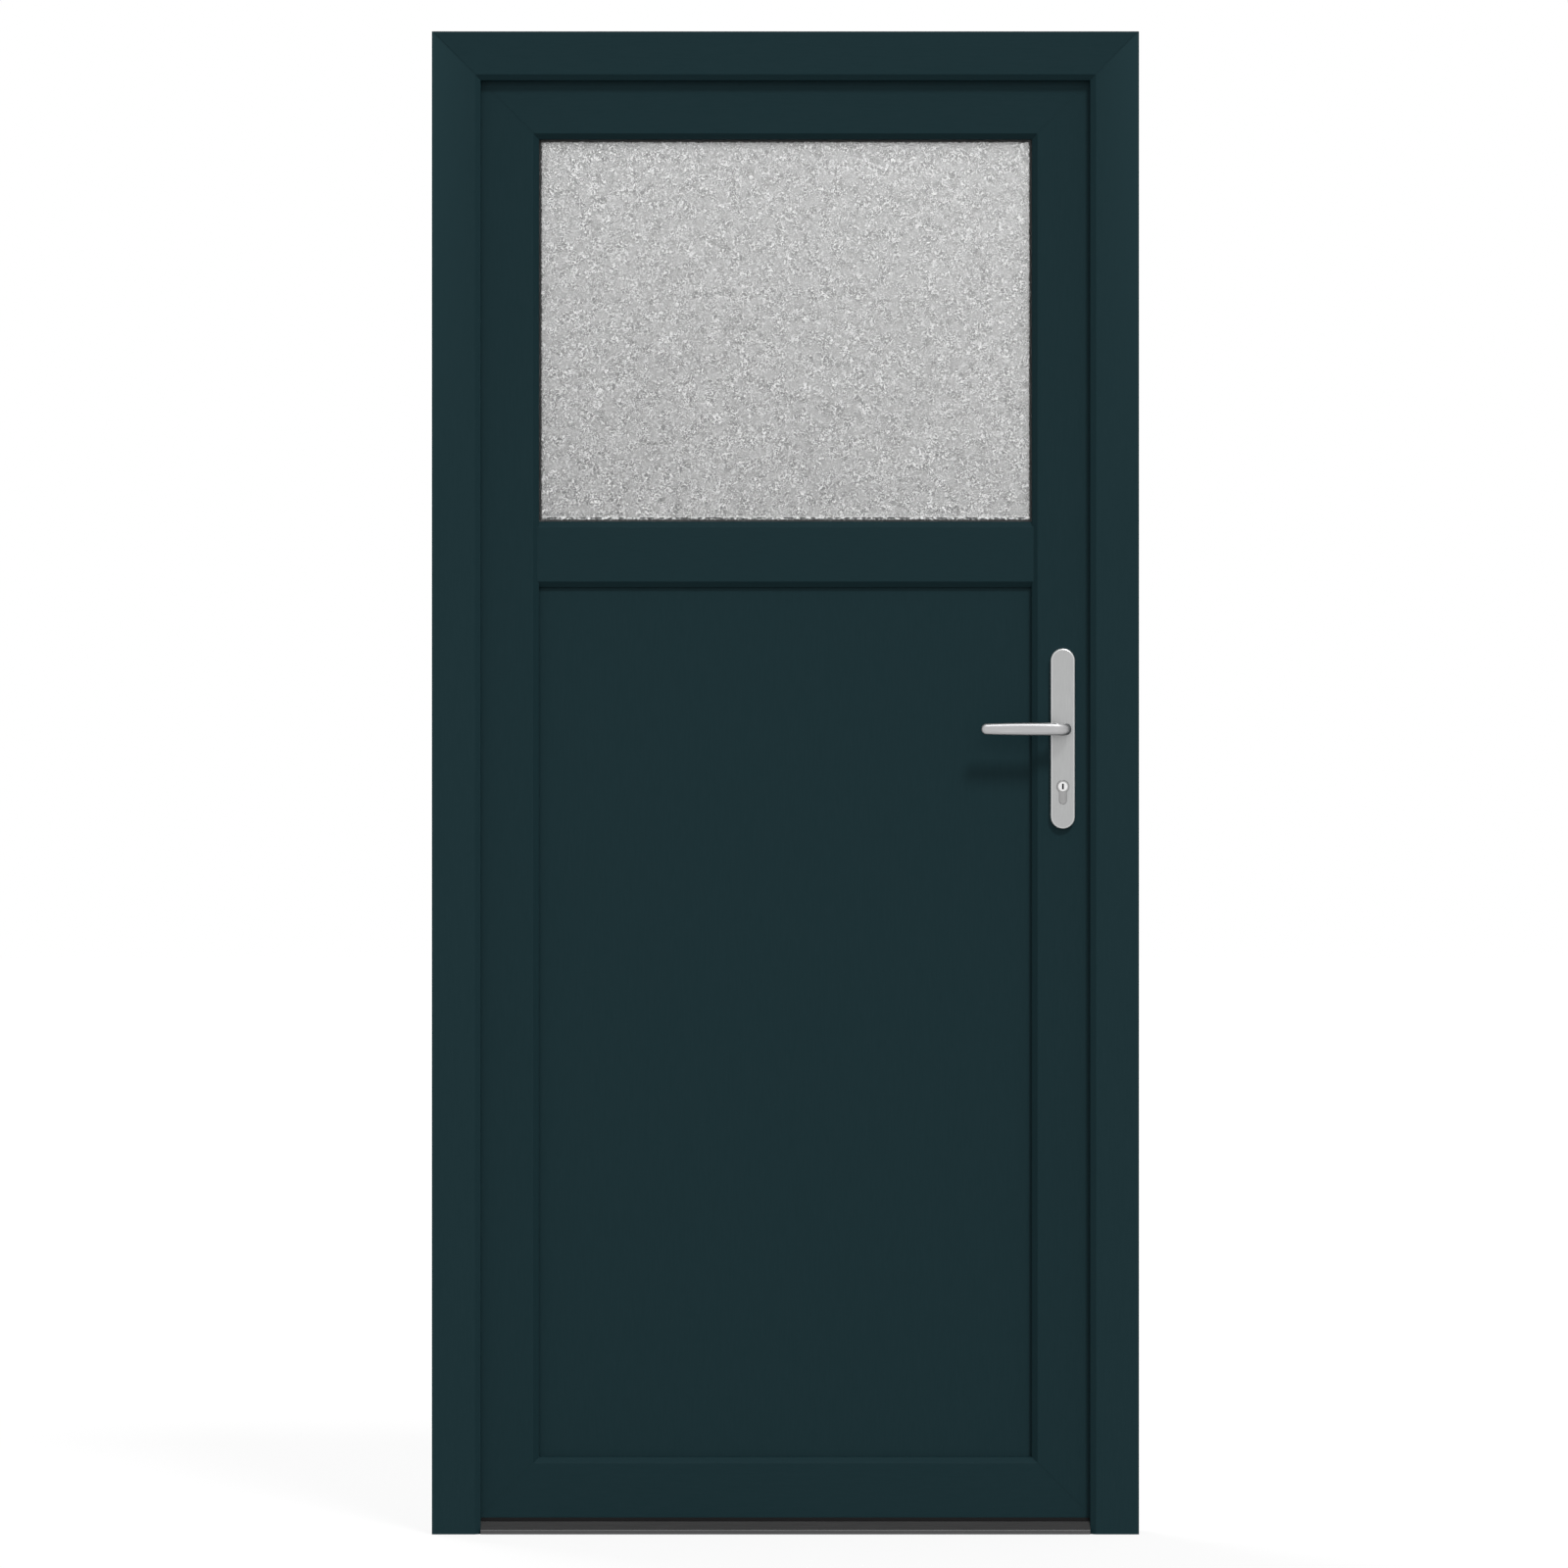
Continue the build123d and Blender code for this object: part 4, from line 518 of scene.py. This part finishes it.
def frosted_finish():
    """Rolled glass with a wormy granular face, painted lighter upwards and to the right as painted light. A
    thin near-black line is painted along its edges and foot, broken by the grain, with dark dashes at the
    foot and a painted glint of bright crumbs just above.
    """
    finish, tree, shader = start_finish("frosted_glass")
    axes = object_axes(tree)
    across, up = axes["X"], axes["Z"]

    swirl = speckle(tree, (1 / worm_size, 0, 1 / worm_size), 1.0, worm_twist)
    from_middle = reckon(tree, "ABSOLUTE", reckon(tree, "SUBTRACT", swirl, 0.5), 0)
    worm = ramp(tree, from_middle, worm_core, worm_edge, 1.0, 0.0)
    patch = ramp(tree, speckle(tree, (1 / patch_size, 0, 1 / patch_size), 1.0, 0.0), 0.35, 0.6, 0.3, 0.95)
    tone = reckon(tree, "MULTIPLY", patch, reckon(tree, "SUBTRACT", worm, worm_mean))
    # painted light: the glass is painted lighter upwards and towards the right, as if lit from the upper
    # right
    painted_light_upwards = ramp(tree, up, pane_low, pane_high, 0.36, 0.46)
    painted_light_rightwards = ramp(tree, across, -0.35, 0.35, 0.0, 0.06)
    shade = reckon(tree, "ADD", tone, reckon(tree, "ADD", painted_light_upwards, painted_light_rightwards))
    colour = blend_colour(tree, shade, frost_dark, frost_light)

    jitter = reckon(tree, "MULTIPLY", speckle(tree, (260, 0, 260), 1.0, 0.0), edge_jitter)
    rise = reckon(tree, "SUBTRACT", up, pane_low)
    jittered_rise = reckon(tree, "ADD", rise, jitter)
    # painted glint: bright crumbs painted just above the foot of the glass
    crumbs = ramp(tree, speckle(tree, (190, 0, 330), 1.0, 0.0), 0.42, 0.56, 0.0, 0.8)
    glint = ramp(tree, jittered_rise, glint_line, glint_line + glint_blur, 1.0, 0.0)
    colour = blend_colour(tree, reckon(tree, "MULTIPLY", glint, crumbs), colour, painted_glint_white)

    # the glass is painted near black in a thin broken line along its top and sides and at its foot, with dark
    # dashes at the foot
    side = reckon(tree, "SUBTRACT", pane_half_width, reckon(tree, "ABSOLUTE", across, 0))
    edge = reckon(tree, "MINIMUM", side, reckon(tree, "SUBTRACT", pane_high, up))
    rim = ramp(tree, reckon(tree, "ADD", edge, jitter), edge_line, edge_line + edge_blur, 1.0, 0.0)
    foot = ramp(tree, jittered_rise, foot_line, foot_line + foot_blur, 1.0, 0.0)
    dashes = ramp(tree, speckle(tree, (150, 0, 300), 1.0, 0.0), 0.44, 0.5, 0.0, 0.95)
    from_line = reckon(tree, "ABSOLUTE", reckon(tree, "SUBTRACT", rise, dash_line), 0)
    band = ramp(tree, from_line, dash_core, dash_edge, 1.0, 0.0)
    dark = reckon(tree, "MAXIMUM", reckon(tree, "MAXIMUM", rim, foot), reckon(tree, "MULTIPLY", dashes, band))
    colour = blend_colour(tree, dark, colour, frost_black)

    tree.links.new(colour, shader.inputs["Base Color"])
    bump = add_node(tree, "ShaderNodeBump")
    bump.inputs["Strength"].default_value = 0.5
    bump.inputs["Distance"].default_value = frost_relief
    tree.links.new(worm, bump.inputs["Height"])
    tree.links.new(bump.outputs["Normal"], shader.inputs["Normal"])
    tree.links.new(ramp(tree, worm, 0.0, 1.0, 0.3, 0.5), shader.inputs["Roughness"])
    shader.inputs["Transmission Weight"].default_value = 0.8
    shader.inputs["IOR"].default_value = 1.5
    return finish


dress(frosted_finish(), "outer_pane")
clear_glass, tree, shader = start_finish("clear_glass")
smear = speckle(tree, (6, 0, 9), 3.0, 0.4)
float_dark, float_light = (0.92, 0.935, 0.93), (0.955, 0.965, 0.96)
tree.links.new(blend_colour(tree, smear, float_dark, float_light), shader.inputs["Base Color"])
tree.links.new(ramp(tree, smear, 0.2, 0.8, 0.0, 0.06), shader.inputs["Roughness"])
shader.inputs["Transmission Weight"].default_value = 1.0
shader.inputs["IOR"].default_value = 1.5
dress(clear_glass, "inner_pane")

# Beads and leaf seals: foiled plastic strips, cut at the corners and snapped in from the room side.
# Rubber lips seal the glass and the panel on both faces, and the edge of the leaf.
dress(stile_foil, "glass_side_beads", "panel_side_beads")
dress(rail_foil, "glass_cross_beads", "panel_cross_beads")
dress(rubber, "glazing_seals_outer", "glazing_seals_inner", "sash_seal", "bottom_seal")

# Hinges: three pairs of leaves, cast with their knuckles and lacquered silver, on steel pins with acetal
# bushes. Each leaf is screwed to the frame or to the leaf of the door by three cross-recessed screws.
lacquer = grained_finish(
    "silver_lacquer", dark=(0.40, 0.41, 0.41), light=(0.48, 0.49, 0.49), roughness=(0.34, 0.48),
    stretch=(900, 900, 900), relief=0.000012, metallic=0.7,
)
dress(
    lacquer, "hinge_frame_leaf_bottom", "hinge_frame_leaf_middle", "hinge_frame_leaf_top",
    "hinge_sash_leaf_bottom", "hinge_sash_leaf_middle", "hinge_sash_leaf_top",
)
dress(plated_steel, "hinge_pins")
hinge_middles = (0.27, 1.0812, 1.83)
hinge_screw_pitch = 0.038
screw_heights = [
    middle + step * hinge_screw_pitch for middle in hinge_middles for step in (-1, 0, 1)
]
hinge_spots = {
    "frame": ("hinge_frame_screws", [(-0.487, 0.039, height) for height in screw_heights]),
    "leaf": ("hinge_sash_screws", [(-0.43, 0.058, height) for height in screw_heights]),
}
for body, (node, spots) in hinge_spots.items():
    cross_screws(node, body, spots, outward=(0, 1, 0), head=0.0038, shank=0.0021, length=0.024)
acetal = grained_finish(
    "acetal", dark=(0.66, 0.65, 0.61), light=(0.74, 0.73, 0.69), roughness=(0.4, 0.55),
    stretch=(300, 300, 300), relief=0.00002,
)
dress(acetal, "hinge_bushes")

# Lock: a folded, zinc-plated steel case let into the lock stile, with follower, spindle, latch and dead
# bolt inside. Two screws hold its nickel-plated faceplate on the edge of the stile.
zinc = grained_finish(
    "zinc_plate", dark=(0.40, 0.41, 0.42), light=(0.52, 0.53, 0.52), roughness=(0.3, 0.45),
    stretch=(120, 120, 120), relief=0.00002, metallic=1.0,
)
dress(zinc, "lock_case", "follower", "spindle")
dress(plated_steel, "lock_faceplate", "latch_bolt", "dead_bolt")
plate_face = 0.438
faceplate_spots = [(plate_face, lock_depth, height) for height in (0.97, 1.212)]
cross_screws(
    "faceplate_screws", "leaf", faceplate_spots, outward=(1, 0, 0), head=0.0034, shank=0.0019, length=0.022
)

# Latch spring: a strip of hardened steel, rolled to a bow, with its foot on the back of the lock case.
# Its tip stands behind the latch's tail. The lever's pull presses the real strip flat; this piece keeps its
# bow.
blued_steel = grained_finish(
    "blued_steel", dark=(0.16, 0.17, 0.20), light=(0.24, 0.25, 0.28), roughness=(0.25, 0.38),
    stretch=(300, 300, 60), relief=0.00001, metallic=1.0,
)
strip_thick, strip_width = 0.0006, 0.007
strip_back = 0.3702
foot_low, foot_high = 1.075, 1.092
bow_forward, bow_height, bow_steps = 0.0099, 0.057, 24
bow_radius = (bow_height**2 + bow_forward**2) / (2 * bow_forward)
bow_turn = math.asin(bow_height / bow_radius)
foot_middle = strip_back + strip_thick / 2
bm = bmesh.new()
bmesh.ops.create_grid(bm, x_segments=1, y_segments=1, size=0.5)
bmesh.ops.scale(bm, vec=(strip_thick, strip_width, 1), verts=bm.verts)
bmesh.ops.translate(bm, vec=(foot_middle, lock_depth, foot_low), verts=bm.verts)
foot = bmesh.ops.extrude_face_region(bm, geom=bm.faces[:])["geom"]
bmesh.ops.translate(bm, vec=(0, 0, foot_high - foot_low), verts=only(bmesh.types.BMVert, foot))
foot_top = only(bmesh.types.BMFace, foot)
bow_centre = (foot_middle + bow_radius, lock_depth, foot_high)
bmesh.ops.spin(bm, geom=foot_top, steps=bow_steps, angle=bow_turn, cent=bow_centre, axis=(0, 1, 0))
bmesh.ops.delete(bm, geom=foot_top, context="FACES_ONLY")
spring = add_piece("bowed_spring", bm, blued_steel)
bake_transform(spring)
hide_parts("latch_spring")

# Cylinder: a milled brass body, plated with nickel, with a turned plug at each end and a cam between them.
# One long screw through the faceplate holds it in the lock. The plugs are polished; their keyways are painted
# dark as shade.
nickel = grained_finish(
    "nickel_plate", dark=(0.30, 0.30, 0.30), light=(0.38, 0.38, 0.38), roughness=(0.3, 0.42),
    stretch=(900, 900, 60), relief=0.00001, metallic=1.0,
)
dress(nickel, "cylinder_body", "cylinder_cam")
cylinder_spots = [(plate_face, lock_depth, 1.0248)]
cross_screws(
    "cylinder_screw", "leaf", cylinder_spots, outward=(1, 0, 0), head=0.0042, shank=0.0024, length=0.058
)
plug_middle, plug_reach = 0.02, 0.0462
plug_dark, plug_light = (0.72, 0.72, 0.72), (0.90, 0.90, 0.90)
# painted shade: the plug is painted near black deeper than its end faces, inside the keyway
keyway_painted_shade = (0.012, 0.011, 0.01)
polished, tree, shader = start_finish("polished_nickel_keyway_shade")
depth = reckon(tree, "ABSOLUTE", reckon(tree, "SUBTRACT", object_axes(tree)["Y"], plug_middle), 0)
bright = blend_colour(tree, speckle(tree, (900, 900, 900), 2.0, 0.0), plug_dark, plug_light)
inside = reckon(tree, "LESS_THAN", depth, plug_reach)
tree.links.new(blend_colour(tree, inside, bright, keyway_painted_shade), shader.inputs["Base Color"])
tree.links.new(ramp(tree, inside, 0.0, 1.0, 0.16, 0.6), shader.inputs["Roughness"])
shader.inputs["Metallic"].default_value = 1.0
dress(polished, "outer_plug", "inner_plug")

# Handles: a long plate with round ends and a bent lever on each side, of satin brushed aluminium.
# The plates clamp the stile between them with two long screws, and the levers sit on the spindle.
satin_upright_and_highlight = grained_finish(
    "satin_upright_and_highlight", dark=(0.39, 0.395, 0.395), light=(0.45, 0.455, 0.455), roughness=(0.34, 0.46),
    stretch=(1200, 1200, 40), relief=0.000012, metallic=1.0,
)
satin_level = grained_finish(
    "satin_level", dark=(0.40, 0.40, 0.405), light=(0.47, 0.47, 0.475), roughness=(0.42, 0.52),
    stretch=(40, 1200, 1200), relief=0.000012, metallic=1.0,
)
plate_side, plate_middle, plate_straight = 0.388, 1.112, 0.109
# painted highlight: a lighter band is painted round the edge of the handle plates
rim_highlight_start, rim_highlight_blur = 0.0146, 0.0005
rim_painted_highlight = (0.56, 0.565, 0.565)
tree = satin_upright_and_highlight.node_tree
axes = object_axes(tree)
beside = reckon(tree, "SUBTRACT", axes["X"], plate_side)
above = reckon(tree, "ABSOLUTE", reckon(tree, "SUBTRACT", axes["Z"], plate_middle), 0)
beyond = reckon(tree, "MAXIMUM", reckon(tree, "SUBTRACT", above, plate_straight), 0)
squares = reckon(tree, "ADD", reckon(tree, "POWER", beside, 2), reckon(tree, "POWER", beyond, 2))
rim = ramp(tree, reckon(tree, "SQRT", squares, 0), rim_highlight_start, rim_highlight_start + rim_highlight_blur, 0.0, 1.0)
tint_over(satin_upright_and_highlight, rim, rim_painted_highlight)
dress(satin_upright_and_highlight, "handle_plate_outer", "handle_plate_inner")
room_face = 0.065
plate_spots = [(plate_side, room_face, height) for height in (1.003, 1.221)]
cross_screws(
    "plate_screws", "leaf", plate_spots, outward=(0, 1, 0), head=0.0046, shank=0.0025, length=0.086
)
dress(satin_level, "lever_outer", "lever_inner")
